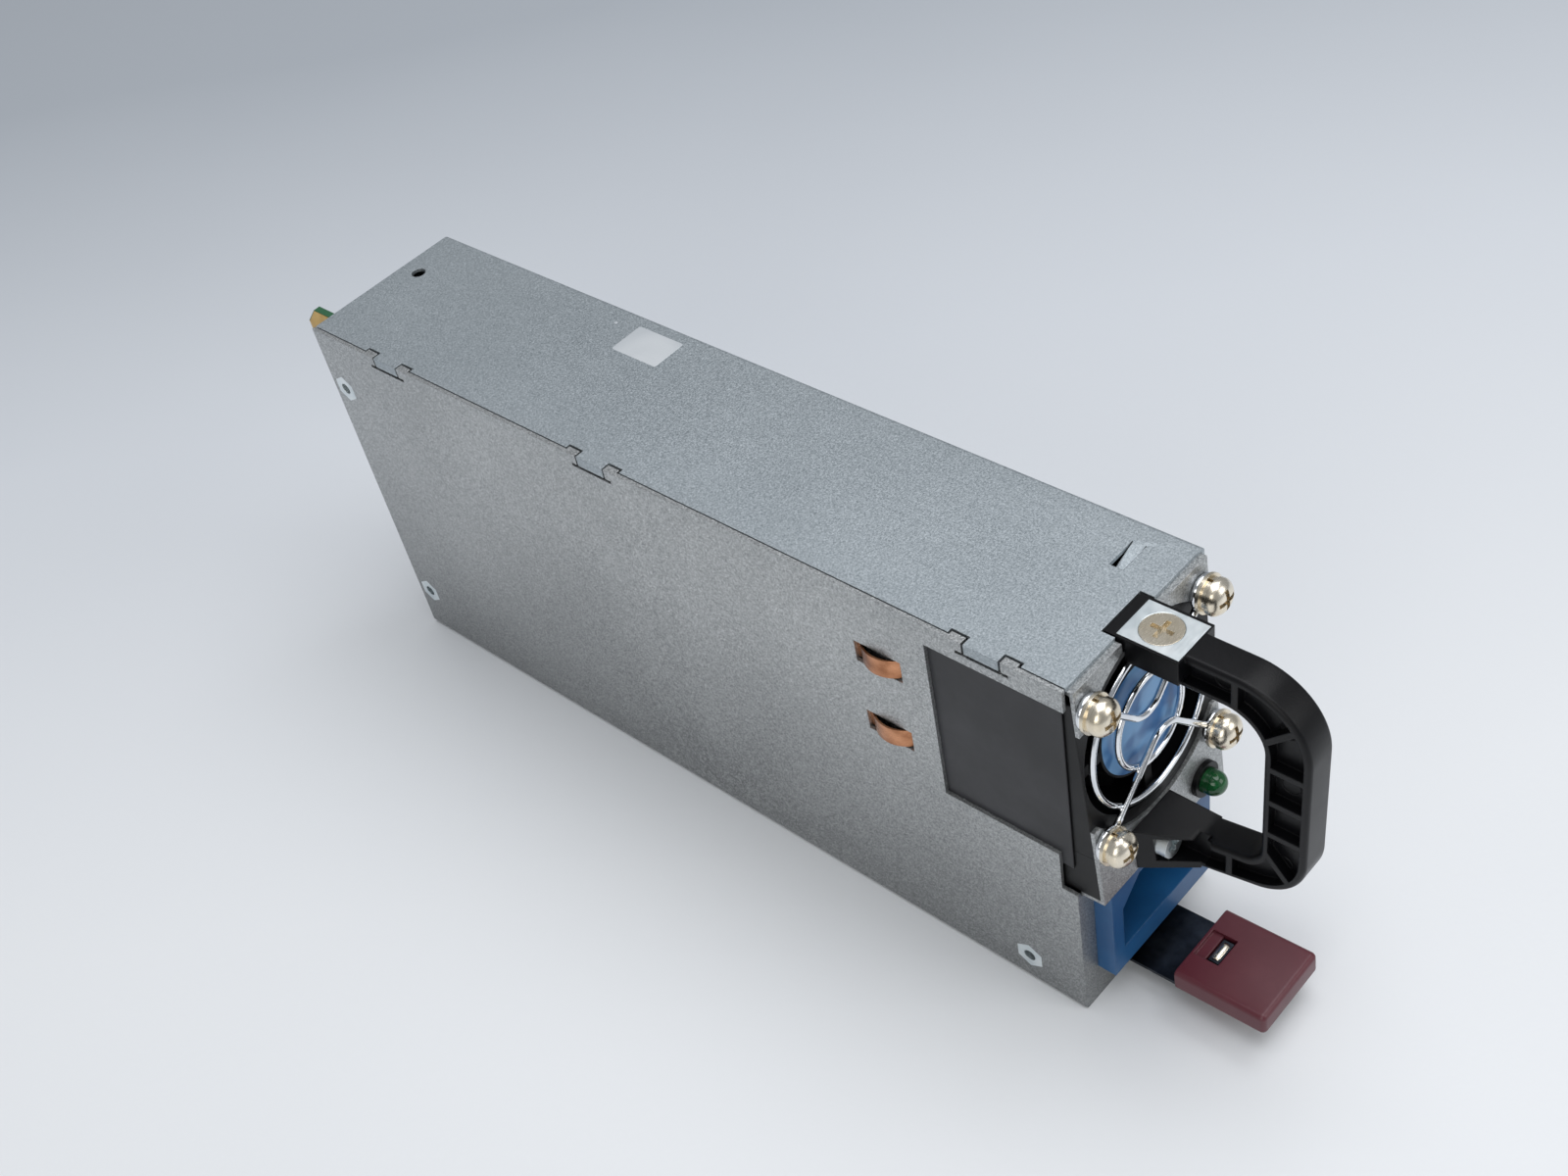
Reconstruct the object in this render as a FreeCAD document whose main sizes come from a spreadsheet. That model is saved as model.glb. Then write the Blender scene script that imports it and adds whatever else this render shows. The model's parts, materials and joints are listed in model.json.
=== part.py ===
"""Hot swap server power supply, 1U high, standing on one long narrow side.

Frame, in millimetres: X across the thin way of the case, Y along its length from the handle end
(the front) to the card edge connector (the rear), Z up. The origin is the centre of the narrow side
that the case stands on. Inside the helpers below, y is counted from the front of the case.
"""
import FreeCAD
import Part
import math
import os
import re

V = FreeCAD.Vector
doc = FreeCAD.newDocument("power_supply")
sizes = doc.addObject("Spreadsheet::Sheet", "Sizes")

DIMENSIONS = {
    # case
    "case_len": 196, "case_high": 88, "case_wide": 39.6, "wall": 0.8, "bend_radius": 1.2,
    "seam_gap": 0.25, "lock_tab_len": 7, "lock_relief": 3.9, "lock_deep": 2.2,
    "tooth_proud": 0.8, "tooth_gap": 0.5, "tooth_high": 1.7,
    "lock_y_front": 16, "lock_middle_inset": 87.3, "lock_rear_inset": 24.8,
    "window_len": 28.4, "window_low": 45, "window_drop": 4.8, "flange_high": 34.5,
    "vent_across": 3.4, "locator_x": 6.3, "locator_inset": 5.4,
    "lance_x": 8.4, "lance_y": 8.0, "lance_wide": 6.3, "lance_len": 2.4, "lance_dip": 2.2,
    "vent_pitch": 4.6,
    # fan and its guard
    "fan_side": 37.2, "fan_lean": 4, "liner_thick": 0.3, "fan_deep": 30, "fan_bore": 18, "fan_drop": 22.4, "fan_front": -0.4,
    "fan_pitch": 32, "screw_hole": 2.0, "hub_radius": 11.4, "blade_tip": 17.4, "blade_count": 7,
    "bracket_wall": 0.8, "bracket_opening": 20.5, "bracket_low": 35, "ear_reach": 11.6,
    "guard_wire": 0.65, "guard_ring": 16.2, "guard_inner_ring": 9.2, "guard_eye": 2.75,
    "head_radius": 3.4, "head_high": 2.4, "washer_rim": 0.3, "washer_thick": 0.6, "lock_washer_thick": 1.0,
    # handle
    "handle_thick": 6.6, "handle_reach": 34.2, "handle_grip": 8.4, "handle_drop": 0,
    "handle_bar": 7.2, "handle_low": 41.4, "handle_inset": 1.3, "handle_pocket": 2.0,
    "boss_wide": 10.2, "boss_drop": 5, "boss_lid": 2.3, "foot_low": 35.4, "foot_high": 45.6, "foot_left": -9.5,
    "foot_right": 2.5, "tab_thick": 1.0, "tab_screw_y": -5.1, "insert_radius": 2.1, "insert_long": 2.4, "insert_inset": 2.2,
    # inlet
    "inlet_wide": 31, "inlet_low": 9.5, "inlet_high": 34, "inlet_proud": 4, "inlet_deep": 24,
    "socket_wide": 24.6, "socket_high": 16.6, "socket_low": 15.2, "socket_deep": 17, "socket_corner": 5.2,
    "pin_tall": 4, "pin_thick": 2, "pin_len": 12, "pin_spread": 14,
    # light
    "led_x": 12.2, "led_z": 39.4, "led_radius": 2.5, "led_long": 4.4,
    # latch
    "latch_pivot_y": 42, "latch_wide": 15.6, "latch_thick": 0.8, "latch_lift": 0.35,
    "latch_reach": 12.6, "latch_step": 3.0, "latch_rest_angle": 3, "latch_root_len": 16,
    "cap_wide": 18, "cap_len": 19, "cap_thick": 5.2, "catch_wide": 8, "catch_y": 6, "catch_len": 7,
    "catch_drop": 2.75,
    # earthing springs
    "spring_y": 34.6, "spring_window": 10.5, "spring_tall": 4.2, "spring_upper_z": 72.7,
    "spring_lower_z": 54.9, "spring_proud": 1.2, "spring_thick": 0.4,
    # board and what it carries
    "board_thick": 1.6, "board_gap": 5.8, "board_start": 38.4, "board_low": 3, "board_drop": 2.6,
    "tongue_len": 13.4, "tongue_low": 30, "standoff_inset": 4, "standoff_front_y": 12.8,
    "standoff_upper_z": 73.5, "standoff_lower_z": 12.5, "standoff_front_z": 7.3,
    "standoff_head": 2.8, "standoff_radius": 2.3, "standoff_bore": 1.3,
    "board_span": 157.6, "bulk_radius": 11, "bulk_high": 27, "core_len": 32, "core_wide": 28, "core_high": 24,
    "sink_high": 25, "sink_len": 60, "sink_fins": 6, "output_cap_radius": 4, "output_cap_high": 16,
}

for row, (alias, number) in enumerate(DIMENSIONS.items(), start=1):
    sizes.set(f"A{row}", alias.replace("_", " "))
    sizes.set(f"B{row}", str(number))
    sizes.setAlias(f"B{row}", alias)
doc.recompute()

nodes = {}

# heights that hang from the top of the case, each by the drop in its cell
HUNG = {"window_high": "window_drop", "fan_z": "fan_drop", "handle_top": "handle_drop",
        "boss_low": "boss_drop", "board_high": "board_drop"}


def value(alias):
    """The number in the cell of that alias, or the height that hangs from the top by its drop."""
    if alias in HUNG:
        return value("case_high") - value(HUNG[alias])
    return float(getattr(sizes, alias))


def bound(text):
    """An expression in which every alias names its cell."""
    def cell(match):
        word = match.group(0)
        if word in HUNG:
            return f"(Sizes.case_high - Sizes.{HUNG[word]})"
        return f"Sizes.{word}" if word in DIMENSIONS else word
    return re.sub(r"[a-z][a-z_]+", cell, str(text))


def place(thing, at):
    """Binds the thing's base point. y is given from the front of the case."""
    for letter, text in zip("xyz", at):
        shift = " - Sizes.case_len / 2" if letter == "y" else ""
        thing.setExpression(f"Placement.Base.{letter}", f"({bound(text)}){shift}")
    return thing


def box(size, at):
    """A block of size (x, y, z) with its lowest corner at a point."""
    block = doc.addObject("Part::Box", "block")
    for side, text in zip(("Length", "Width", "Height"), size):
        block.setExpression(side, bound(text))
    return place(block, at)


TURNS = {
    "x": FreeCAD.Rotation(V(0, 1, 0), 90),
    "y": FreeCAD.Rotation(V(1, 0, 0), -90),
    "z": FreeCAD.Rotation(),
}


def rod(radius, length, at, axis, top_radius=None):
    """A cylinder, or a cone when it has a top radius, that starts at a point and runs along an axis."""
    kind = "Part::Cylinder" if top_radius is None else "Part::Cone"
    solid = doc.addObject(kind, "rod")
    solid.setExpression("Radius" if top_radius is None else "Radius1", bound(radius))
    if top_radius is not None:
        solid.setExpression("Radius2", bound(top_radius))
    solid.setExpression("Height", bound(length))
    solid.Placement = FreeCAD.Placement(V(), TURNS[axis])
    return place(solid, at)


def hexagon(across, length, at, axis):
    """A six-sided prism, given across its flats."""
    prism = doc.addObject("Part::Prism", "prism")
    prism.Polygon = 6
    prism.setExpression("Circumradius", f"({bound(across)}) / sqrt(3)")
    prism.setExpression("Height", bound(length))
    prism.Placement = FreeCAD.Placement(V(), TURNS[axis])
    return place(prism, at)


def joined(*parts):
    """One shape from several."""
    if len(parts) == 1:
        return parts[0]
    union = doc.addObject("Part::MultiFuse", "union")
    union.Shapes = list(parts)
    return union


def cut(base, *tools):
    """The base without the tools."""
    result = doc.addObject("Part::Cut", "cut")
    result.Base = base
    result.Tool = joined(*tools)
    return result


def rounded(base, alias, wanted):
    """The base with a fillet on each edge that the test picks by its two end points."""
    doc.recompute()
    fillet = doc.addObject("Part::Fillet", "fillet")
    fillet.Base = base
    size = value(alias)
    picked = []
    for number, edge in enumerate(base.Shape.Edges, start=1):
        ends = [vertex.Point for vertex in edge.Vertexes]
        if len(ends) == 2 and wanted(ends[0], ends[1]):
            picked.append((number, size, size))
    fillet.Edges = picked
    return fillet


TO_FRONT = FreeCAD.Placement(V(0, -value("case_len") / 2, 0), FreeCAD.Rotation())
LEAN = FreeCAD.Placement(V(), FreeCAD.Rotation(V(-1, 0, 0), value("fan_lean")),
                         V(0, value("fan_front"), value("case_high")))


def plain(shape):
    """A Part::Feature of a computed shape, whose y is counted from the front of the case."""
    feature = doc.addObject("Part::Feature", "form")
    feature.Shape = shape
    feature.Placement = TO_FRONT.multiply(shape.Placement)
    return feature


def leaned(thing):
    """The piece turned with the fan, whose lower edge stands further forward than its upper edge."""
    doc.recompute()
    turn = TO_FRONT.multiply(LEAN).multiply(TO_FRONT.inverse())
    thing.Placement = turn.multiply(thing.Placement)
    return thing


def node(name, thing):
    """Names the finished piece."""
    thing.Label = name
    nodes[name] = thing
    return thing


def outline(corners):
    """A closed outline in the YZ plane from (y, z, radius) corners, each rounded by a tangent arc."""
    edges = []
    count = len(corners)
    ends = []
    for i, (y, z, radius) in enumerate(corners):
        here = V(0, y, z)
        before = V(0, *corners[i - 1][:2])
        after = V(0, *corners[(i + 1) % count][:2])
        to_before = (before - here).normalize()
        to_after = (after - here).normalize()
        half = to_before.getAngle(to_after) / 2
        if radius <= 0:
            ends.append((here, here, None))
            continue
        reach = radius / math.tan(half)
        middle = here + (to_before + to_after).normalize() * (radius / math.sin(half) - radius)
        ends.append((here + to_before * reach, here + to_after * reach, middle))
    for i, (start, stop, middle) in enumerate(ends):
        if middle is not None:
            edges.append(Part.Arc(start, middle, stop).toShape())
        following = ends[(i + 1) % count][0]
        if (following - stop).Length > 1e-6:
            edges.append(Part.LineSegment(stop, following).toShape())
    return Part.Face(Part.Wire(edges))


# ---------------------------------------------------------------- case

HALF = "case_wide / 2"
LOCKS = ("lock_y_front", "case_len - lock_middle_inset", "case_len - lock_rear_inset")
SPRINGS = {"upper": "spring_upper_z", "lower": "spring_lower_z"}


def along_y(low_x, low_z):
    """A test for the edge that runs along Y at that x and z."""
    def test(a, b):
        on_line = all(abs(p.x - low_x) < 0.01 and abs(p.z - low_z) < 0.01 for p in (a, b))
        return on_line and abs(a.y - b.y) > 1
    return test


def make_tray():
    """Near large side, the narrow side underneath and the lower front wall, folded from one sheet."""
    outer = box(("case_wide - wall - seam_gap", "case_len", "case_high"), (f"-{HALF}", "0", "0"))
    outer = rounded(outer, "bend_radius", along_y(-value("case_wide") / 2, 0))
    inner = box(("case_wide", "case_len", "case_high"), (f"-{HALF} + wall", "wall", "wall"))
    above = box(("case_wide", "2 * wall", "case_high"), (f"-{HALF} + wall", "-wall / 2", "flange_high"))
    tools = [inner, above]
    tools.append(box(("3 * wall", "window_len + 1", "window_high - window_low"),
                     (f"-{HALF} - wall", "-1", "window_low")))
    tools.append(box(("3 * wall", "4.4", "window_low - flange_high"), (f"-{HALF} - wall", "-1", "flange_high + 1")))
    tools.append(box(("inlet_wide - 3", "3 * wall", "inlet_high - inlet_low - 2"),
                     ("-inlet_wide / 2 + 1.5", "-wall", "inlet_low + 1")))
    tools.append(box(("latch_wide + 1.2", "3 * wall", "inlet_low - 1 - wall"),
                     ("-latch_wide / 2 - 0.6", "-wall", "wall")))
    tools.append(box(("catch_wide + 1.2", "catch_len + 2", "3 * wall"),
                     ("-catch_wide / 2 - 0.6", "catch_y - 1", "-wall")))
    for y in LOCKS:
        tools.append(box(("3 * wall", "lock_tab_len + 2 * tooth_gap", "lock_deep + 1"),
                         (f"-{HALF} - wall", f"{y} - lock_tab_len / 2 - tooth_gap", "case_high - lock_deep")))
        tools.append(box(("3 * wall", "lock_tab_len + lock_relief", "0.7"),
                         (f"-{HALF} - wall", f"{y} - (lock_tab_len + lock_relief) / 2", "case_high - lock_deep - 0.7")))
    for z in SPRINGS.values():
        tools.append(box(("3 * wall", "spring_window", "spring_tall + 0.8"),
                         (f"-{HALF} - wall", "spring_y", f"{z} - spring_tall / 2 - 0.4")))
    for y, z in STANDOFFS:
        tools.append(hexagon("2 * standoff_head", "3 * wall", (f"-{HALF} - wall", y, z), "x"))
    for step in (0.3, 0.75):
        tools.append(rod("1.5", "3 * wall", ("0", f"latch_pivot_y + 0.3 + latch_root_len * {step}", "-wall"), "z"))
    teeth = []
    for y in LOCKS:
        for side in ("- lock_tab_len / 2 - lock_relief", "+ lock_tab_len / 2"):
            teeth.append(box(("wall / 2 + tooth_proud", "lock_relief - 2 * tooth_gap", "tooth_high"),
                             (f"-{HALF} + wall / 2", f"{y} {side} + tooth_gap", "case_high - tooth_high")))
    return node("tray", joined(cut(outer, *tools), *teeth))


STANDOFFS = (("case_len - standoff_inset", "standoff_upper_z"), ("case_len - standoff_inset", "standoff_lower_z"),
             ("standoff_front_y", "standoff_front_z"))


def make_cover():
    """Top narrow side and far large side, with three tabs that lock over the edge of the tray."""
    outer = box(("case_wide - wall - seam_gap", "case_len", "case_high"), (f"-{HALF} + wall + seam_gap", "0", "0"))
    outer = rounded(outer, "bend_radius", along_y(value("case_wide") / 2, value("case_high")))
    inner = box(("case_wide", "case_len + 2", "case_high"), (f"-{HALF}", "-1", "-wall"))
    inner.setExpression("Length", bound("case_wide - wall"))
    tools = [inner]
    for y in LOCKS:
        for side in ("- lock_tab_len / 2 - lock_relief", "+ lock_tab_len / 2"):
            tools.append(box(("tooth_proud + tooth_gap", "lock_relief", "3 * wall"),
                             (f"-{HALF} + wall", f"{y} {side}", "case_high - 2 * wall")))
    tools.append(rod("1.6", "3 * wall", ("locator_x", "case_len - locator_inset", "case_high - 2 * wall"), "z"))
    tools.append(box(("boss_wide + 0.7", "3.7", "3 * wall"), ("-boss_wide / 2 - 0.35", "-1", "case_high - 2 * wall")))
    tools.append(box(("lance_wide + 0.4", "lance_len + 0.4", "3 * wall"),
                     ("lance_x - 0.4", "lance_y - 0.2", "case_high - 2 * wall")))
    tools.append(box(("3 * wall", "window_len + 1", "window_high - window_low"),
                     (f"{HALF} - 2 * wall", "-1", "window_low")))
    shell = cut(outer, *tools)
    extras = [shell]
    for y in LOCKS:
        bridge = box(("wall + seam_gap + 0.4", "lock_tab_len", "wall"),
                     (f"-{HALF}", f"{y} - lock_tab_len / 2", "case_high - wall"))
        leaf = box(("wall", "lock_tab_len", "lock_deep"),
                   (f"-{HALF}", f"{y} - lock_tab_len / 2", "case_high - lock_deep"))
        extras += [bridge, leaf]
    extras.append(make_catch_ramp())
    return node("cover", joined(*extras))


def make_catch_ramp():
    """The lanced tongue in the top that dips towards its slot, for the catch of the bay."""
    top, wall = value("case_high"), value("wall")
    tip, root = value("lance_x"), value("lance_x") + value("lance_wide")
    dip, y = value("lance_dip"), value("lance_y")
    corners = [V(root, y, top), V(tip, y, top - dip), V(tip, y, top - dip - wall), V(root, y, top - wall)]
    profile = Part.Face(Part.makePolygon(corners + corners[:1]))
    return plain(profile.extrude(V(0, value("lance_len"), 0)))


def make_rear_panel():
    """Perforated rear wall with the slot that lets the card edge out."""
    plate = box(("case_wide - 2 * wall", "wall", "case_high - 2 * wall"),
                (f"-{HALF} + wall", "case_len - wall", "wall"))
    slot = box(("board_thick + 0.8", "3 * wall", "board_high - tongue_low + 1"),
               (f"-{HALF} + wall + board_gap - 0.4", "case_len - 2 * wall", "tongue_low - 0.5"))
    tools = [slot]
    pitch = value("vent_pitch")
    across = int((value("case_wide") / 2 - 4 + 7) // pitch)
    upward = int((value("case_high") - 16) // (pitch * 0.87))
    for i in range(upward):
        for j in range(across):
            shift = 0.5 if i % 2 else 0
            tools.append(hexagon("vent_across", "3 * wall",
                                 (f"-7 + vent_pitch * {j + shift}", "case_len - 2 * wall",
                                  f"9 + vent_pitch * 0.87 * {i}"), "y"))
    return node("rear_panel", cut(plate, *tools))


# ---------------------------------------------------------------- fan and front bracket

CORNERS = [(sx, sz) for sx in (-1, 1) for sz in (-1, 1)]


def at_corner(sx, sz, y):
    """A point on a fan screw's axis."""
    return (f"{sx} * fan_pitch / 2", y, f"fan_z + {sz} * fan_pitch / 2")


def make_fan_frame():
    """Square fan housing with its round duct, screw bores, and the motor base on four struts."""
    shell = box(("fan_side", "fan_deep", "fan_side"), ("-fan_side / 2", "fan_front", "fan_z - fan_side / 2"))
    tools = [rod("fan_bore", "fan_deep + 2", ("0", "fan_front - 1", "fan_z"), "y")]
    for sx, sz in CORNERS:
        tools.append(rod("screw_hole", "fan_deep + 2", at_corner(sx, sz, "fan_front - 1"), "y"))
    duct = cut(shell, *tools)
    base = rod("hub_radius + 0.4", "2", ("0", "fan_front + 1.4", "fan_z"), "y")
    tube = rod("4", "16", ("0", "fan_front + 3", "fan_z"), "y")
    strut = box(("2 * fan_bore + 0.6", "1.8", "2.2"), ("-fan_bore - 0.3", "fan_front + 1.5", "fan_z - 1.1"))
    upright = box(("2.2", "1.8", "2 * fan_bore + 0.6"), ("-1.1", "fan_front + 1.5", "fan_z - fan_bore - 0.3"))
    bore = rod("2.6", "18", ("0", "fan_front + 2.4", "fan_z"), "y")
    return node("fan_frame", leaned(cut(joined(duct, base, tube, strut, upright), bore)))


def make_fan_motor():
    """Bearing sleeve in the motor tube, and the wound stator around it."""
    sleeve = rod("2.6", "16.6", ("0", "fan_front + 2.4", "fan_z"), "y")
    bore = rod("1.55", "18", ("0", "fan_front + 2.2", "fan_z"), "y")
    node("fan_bearing", leaned(cut(sleeve, bore)))
    stator = rod("9", "11", ("0", "fan_front + 6", "fan_z"), "y")
    hole = rod("4", "13", ("0", "fan_front + 5", "fan_z"), "y")
    slots = []
    for turn in range(4):
        angle = math.radians(45 + 90 * turn)
        slots.append(rod("2.2", "13", (f"{7.6 * math.cos(angle):.4f}", "fan_front + 5",
                                       f"fan_z + {7.6 * math.sin(angle):.4f}"), "y"))
    node("fan_stator", leaned(cut(stator, hole, *slots)))


def make_fan_rotor():
    """Hub cup, shaft and twisted blades. Each blade is a ruled loft between turned sections."""
    front = value("fan_front") + 4.6
    deep = value("fan_deep") - 8.4
    hub_r, tip_r, count = value("hub_radius"), value("blade_tip"), int(value("blade_count"))
    axis = V(0, 1, 0)
    cup = Part.makeCylinder(hub_r, deep, V(0, front, 0), axis)
    cup = cup.cut(Part.makeCylinder(hub_r - 1.6, deep - 3, V(0, front, 0), axis))
    shaft_front = value("fan_front") + 3
    shaft = Part.makeCylinder(1.5, front + deep - 1 - shaft_front, V(0, shaft_front, 0), axis)
    rotor = cup.fuse(shaft)
    sweep, steps, thick = 62, 4, 1.3
    blades = []
    for number in range(count):
        sections = []
        for step in range(steps + 1):
            share = step / steps
            y = front + 2 + (deep - 6) * share
            turn = FreeCAD.Rotation(axis, 360 / count * number + sweep * share)
            flat = [V(hub_r - 0.6, 0, -thick / 2), V(tip_r, 0, -thick / 2), V(tip_r, 0, thick / 2),
                    V(hub_r - 0.6, 0, thick / 2)]
            ring = [turn.multVec(p) + V(0, y, 0) for p in flat]
            sections.append(Part.makePolygon(ring + ring[:1]))
        blades.append(Part.makeLoft(sections, True, True))
    shape = rotor.fuse(blades).removeSplitter()
    shape.translate(V(0, 0, value("fan_z")))
    return node("fan_rotor", leaned(plain(shape)))


def bracket_plate(low, tall):
    """A part of the bracket's plate, with the fan's opening and the bores of the fan screws."""
    plate = box(("fan_side", "bracket_wall", tall), ("-fan_side / 2", "fan_front - bracket_wall", low))
    tools = [rod("bracket_opening", "4", ("0", "fan_front - 2", "fan_z"), "y")]
    for sx, sz in CORNERS:
        tools.append(rod("screw_hole + 0.1", "4", at_corner(sx, sz, "fan_front - 2"), "y"))
    return cut(plate, *tools)


def make_upper_bracket():
    """Two upper ears that clamp the fan, on a flange that is spot welded under the cover."""
    low = "fan_z + ear_reach"
    notch = box(("boss_wide + 0.8", "8", "4"), ("-boss_wide / 2 - 0.4", "fan_front - 3", "case_high - boss_lid - 0.4"))
    ears = leaned(cut(bracket_plate(low, f"case_high - wall - ({low})"), notch))
    flange = box(("fan_side", "7.5", "wall"), ("-fan_side / 2", "fan_front - wall / 2", "case_high - 2 * wall"))
    bay = box(("boss_wide + 0.8", "8", "4"), ("-boss_wide / 2 - 0.4", "fan_front - 3", "case_high - boss_lid - 0.4"))
    return node("upper_bracket", joined(ears, cut(flange, bay)))


FOOT_SCREW = ("(foot_left + foot_right) / 2 - 1", "(foot_low + foot_high) / 2")


def make_lower_bracket():
    """Lower ears, with the light's hole, the bore of the foot screw and a short flange underneath."""
    plate = bracket_plate("bracket_low", "fan_z - ear_reach - bracket_low")
    flange = box(("fan_side", "5", "bracket_wall"), ("-fan_side / 2", "fan_front - bracket_wall", "bracket_low"))
    light = rod("led_radius + 0.5", "4", ("led_x", "fan_front - 2", "led_z"), "y")
    screw = rod("1.6", "4", (FOOT_SCREW[0], "fan_front - 2", FOOT_SCREW[1]), "y")
    return node("lower_bracket", leaned(cut(joined(plate, flange), light, screw)))


def make_lower_shroud():
    """Black plastic filler between the fan and the lower bracket's flange."""
    low = "bracket_low + bracket_wall"
    block = box(("fan_side", "9.5", f"fan_z - fan_side / 2 - ({low})"), ("-fan_side / 2", "fan_front", low))
    led_hole = rod("led_radius + 0.5", "14", ("led_x", "fan_front - 2", "led_z"), "y")
    screw_hole = rod("1.55", "14", (FOOT_SCREW[0], "fan_front - 2", FOOT_SCREW[1]), "y")
    return node("lower_shroud", leaned(cut(block, led_hole, screw_hole)))


def make_window_liners():
    """Thin black sheets that close the windows in both large sides, beside the fan."""
    liners = []
    for x in (f"-{HALF} + wall", f"{HALF} - wall - liner_thick"):
        liners.append(box(("liner_thick", "window_len + 4", "window_high - window_low + 6"), (x, "wall + 0.2", "window_low - 3")))
    node("window_liners", group(liners))


def tube_along(points, bend, radius):
    """A round wire along straight runs joined by tangent arcs."""
    edges = []
    start = points[0]
    for i in range(1, len(points) - 1):
        back = (points[i - 1] - points[i]).normalize()
        ahead = (points[i + 1] - points[i]).normalize()
        half = back.getAngle(ahead) / 2
        reach = bend / math.tan(half)
        middle = points[i] + (back + ahead).normalize() * (bend / math.sin(half) - bend)
        first, last = points[i] + back * reach, points[i] + ahead * reach
        edges.append(Part.LineSegment(start, first).toShape())
        edges.append(Part.Arc(first, middle, last).toShape())
        start = last
    edges.append(Part.LineSegment(start, points[-1]).toShape())
    path = Part.Wire(edges)
    section = Part.Wire(Part.makeCircle(radius, points[0], points[1] - points[0]))
    return path.makePipeShell([section], True, True)


def make_finger_guard():
    """Chromed wire guard: two rings, and two bent wires that end in an eye under each fan screw."""
    wire, pitch = value("guard_wire"), value("fan_pitch") / 2
    plane = value("fan_front") - value("bracket_wall") - wire
    ring_plane = plane + 2 * wire - 0.15
    axis = V(0, 1, 0)
    shape = Part.makeTorus(value("guard_ring"), wire, V(0, ring_plane, 0), axis)
    shape = shape.fuse(Part.makeTorus(value("guard_inner_ring"), wire, V(0, ring_plane, 0), axis))
    eye = value("guard_eye")
    for sz in (1, -1):
        # each wire runs from its left eye to a knee near the middle, and on to its right eye
        knee = V(-2.2 * sz, plane, 1.6 * sz)
        ends = [V(sx * pitch, plane, sz * pitch) for sx in (-1, 1)]
        starts = [end + (knee - end).normalize() * eye for end in ends]
        shape = shape.fuse(tube_along([starts[0], knee, starts[1]], 5.0, wire))
        for end in ends:
            shape = shape.fuse(Part.makeTorus(eye, wire, end, axis))
    shape.translate(V(0, 0, value("fan_z")))
    return node("finger_guard", leaned(plain(shape)))


def cross_recess(radius, at, deep, axis):
    """Two crossed slots for a screwdriver, sunk from a head's top."""
    blades = []
    x, y, z = at
    for wide, tall in ((radius, "0.9"), ("0.9", radius)):
        if axis == "y":
            blades.append(box((wide, deep, tall), (f"{x} - {wide} / 2", y, f"{z} - {tall} / 2")))
        else:
            blades.append(box((wide, tall, deep), (f"{x} - {wide} / 2", f"{y} - {tall} / 2", z)))
    return blades


def make_fan_fasteners():
    """Four pan head screws with their lock washers and plain washers, each kind as one group."""
    seat = "fan_front - bracket_wall - 2 * guard_wire"
    screws, plain_washers, lock_washers = [], [], []
    head_r, head_high = value("head_radius"), value("head_high")
    profile = Part.Face(Part.Wire([
        Part.LineSegment(V(0, 0, 0), V(head_r, 0, 0)).toShape(),
        Part.LineSegment(V(head_r, 0, 0), V(head_r, -0.8, 0)).toShape(),
        Part.Arc(V(head_r, -0.8, 0), V(head_r * 0.76, -head_high * 0.8, 0), V(0, -head_high, 0)).toShape(),
        Part.LineSegment(V(0, -head_high, 0), V(0, 0, 0)).toShape()]))
    dome = profile.revolve(V(), V(0, 1, 0), 360)
    for sx, sz in CORNERS:
        x, _, z = at_corner(sx, sz, "0")
        washer = rod("head_radius + washer_rim", "washer_thick", (x, f"{seat} - washer_thick", z), "y")
        hole = rod("screw_hole", "4", (x, f"{seat} - 2", z), "y")
        plain_washers.append(cut(washer, hole))
        lock_seat = f"{seat} - washer_thick - lock_washer_thick"
        spring = rod("head_radius - 0.25", "lock_washer_thick", (x, lock_seat, z), "y")
        hole = rod("screw_hole", "4", (x, f"{lock_seat} - 1", z), "y")
        split = box(("0.7", "3", "head_radius"), (f"{x} - 0.35", f"{lock_seat} - 1", z))
        lock_washers.append(cut(spring, hole, split))
        head = doc.addObject("Part::Feature", "head")
        head.Shape = dome
        place(head, (x, lock_seat, z))
        shank = rod("screw_hole - 0.05", "14", (x, f"{lock_seat} - 0.2", z), "y")
        recess = cross_recess("4.2", (x, f"{lock_seat} - head_high - 0.2", z), "1.5", "y")
        screws.append(cut(joined(head, shank), *recess))
    node("fan_screws", leaned(group(screws)))
    node("fan_washers", leaned(group(plain_washers)))
    node("fan_lock_washers", leaned(group(lock_washers)))


def group(parts):
    """Separate solids kept together under one name."""
    bundle = doc.addObject("Part::Compound", "bundle")
    bundle.Links = list(parts)
    return bundle


# ---------------------------------------------------------------- handle

def handle_corners(inset=0.0):
    """Corners of the loop in the YZ plane, as (y, z, radius). The inset shrinks the band from each side."""
    reach, top = value("handle_reach"), value("handle_top")
    bar, grip, low = value("handle_bar"), value("handle_grip"), value("handle_low")
    root, heel = -9.0, -14.0
    return [
        (root - inset, top - inset, 0), (-reach + inset, top - inset, 13.5 - inset),
        (-reach + inset, low + inset, 11.5 - inset), (heel - inset, low - 4.6 + inset, 0),
        (heel - inset, low + 2.8 - inset, 0), (-reach + grip - inset, low + 5 - inset, 4.2 + inset),
        (-reach + grip - inset, top - bar + inset, 7.5 + inset), (root - inset, top - bar + inset, 0),
    ]


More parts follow.
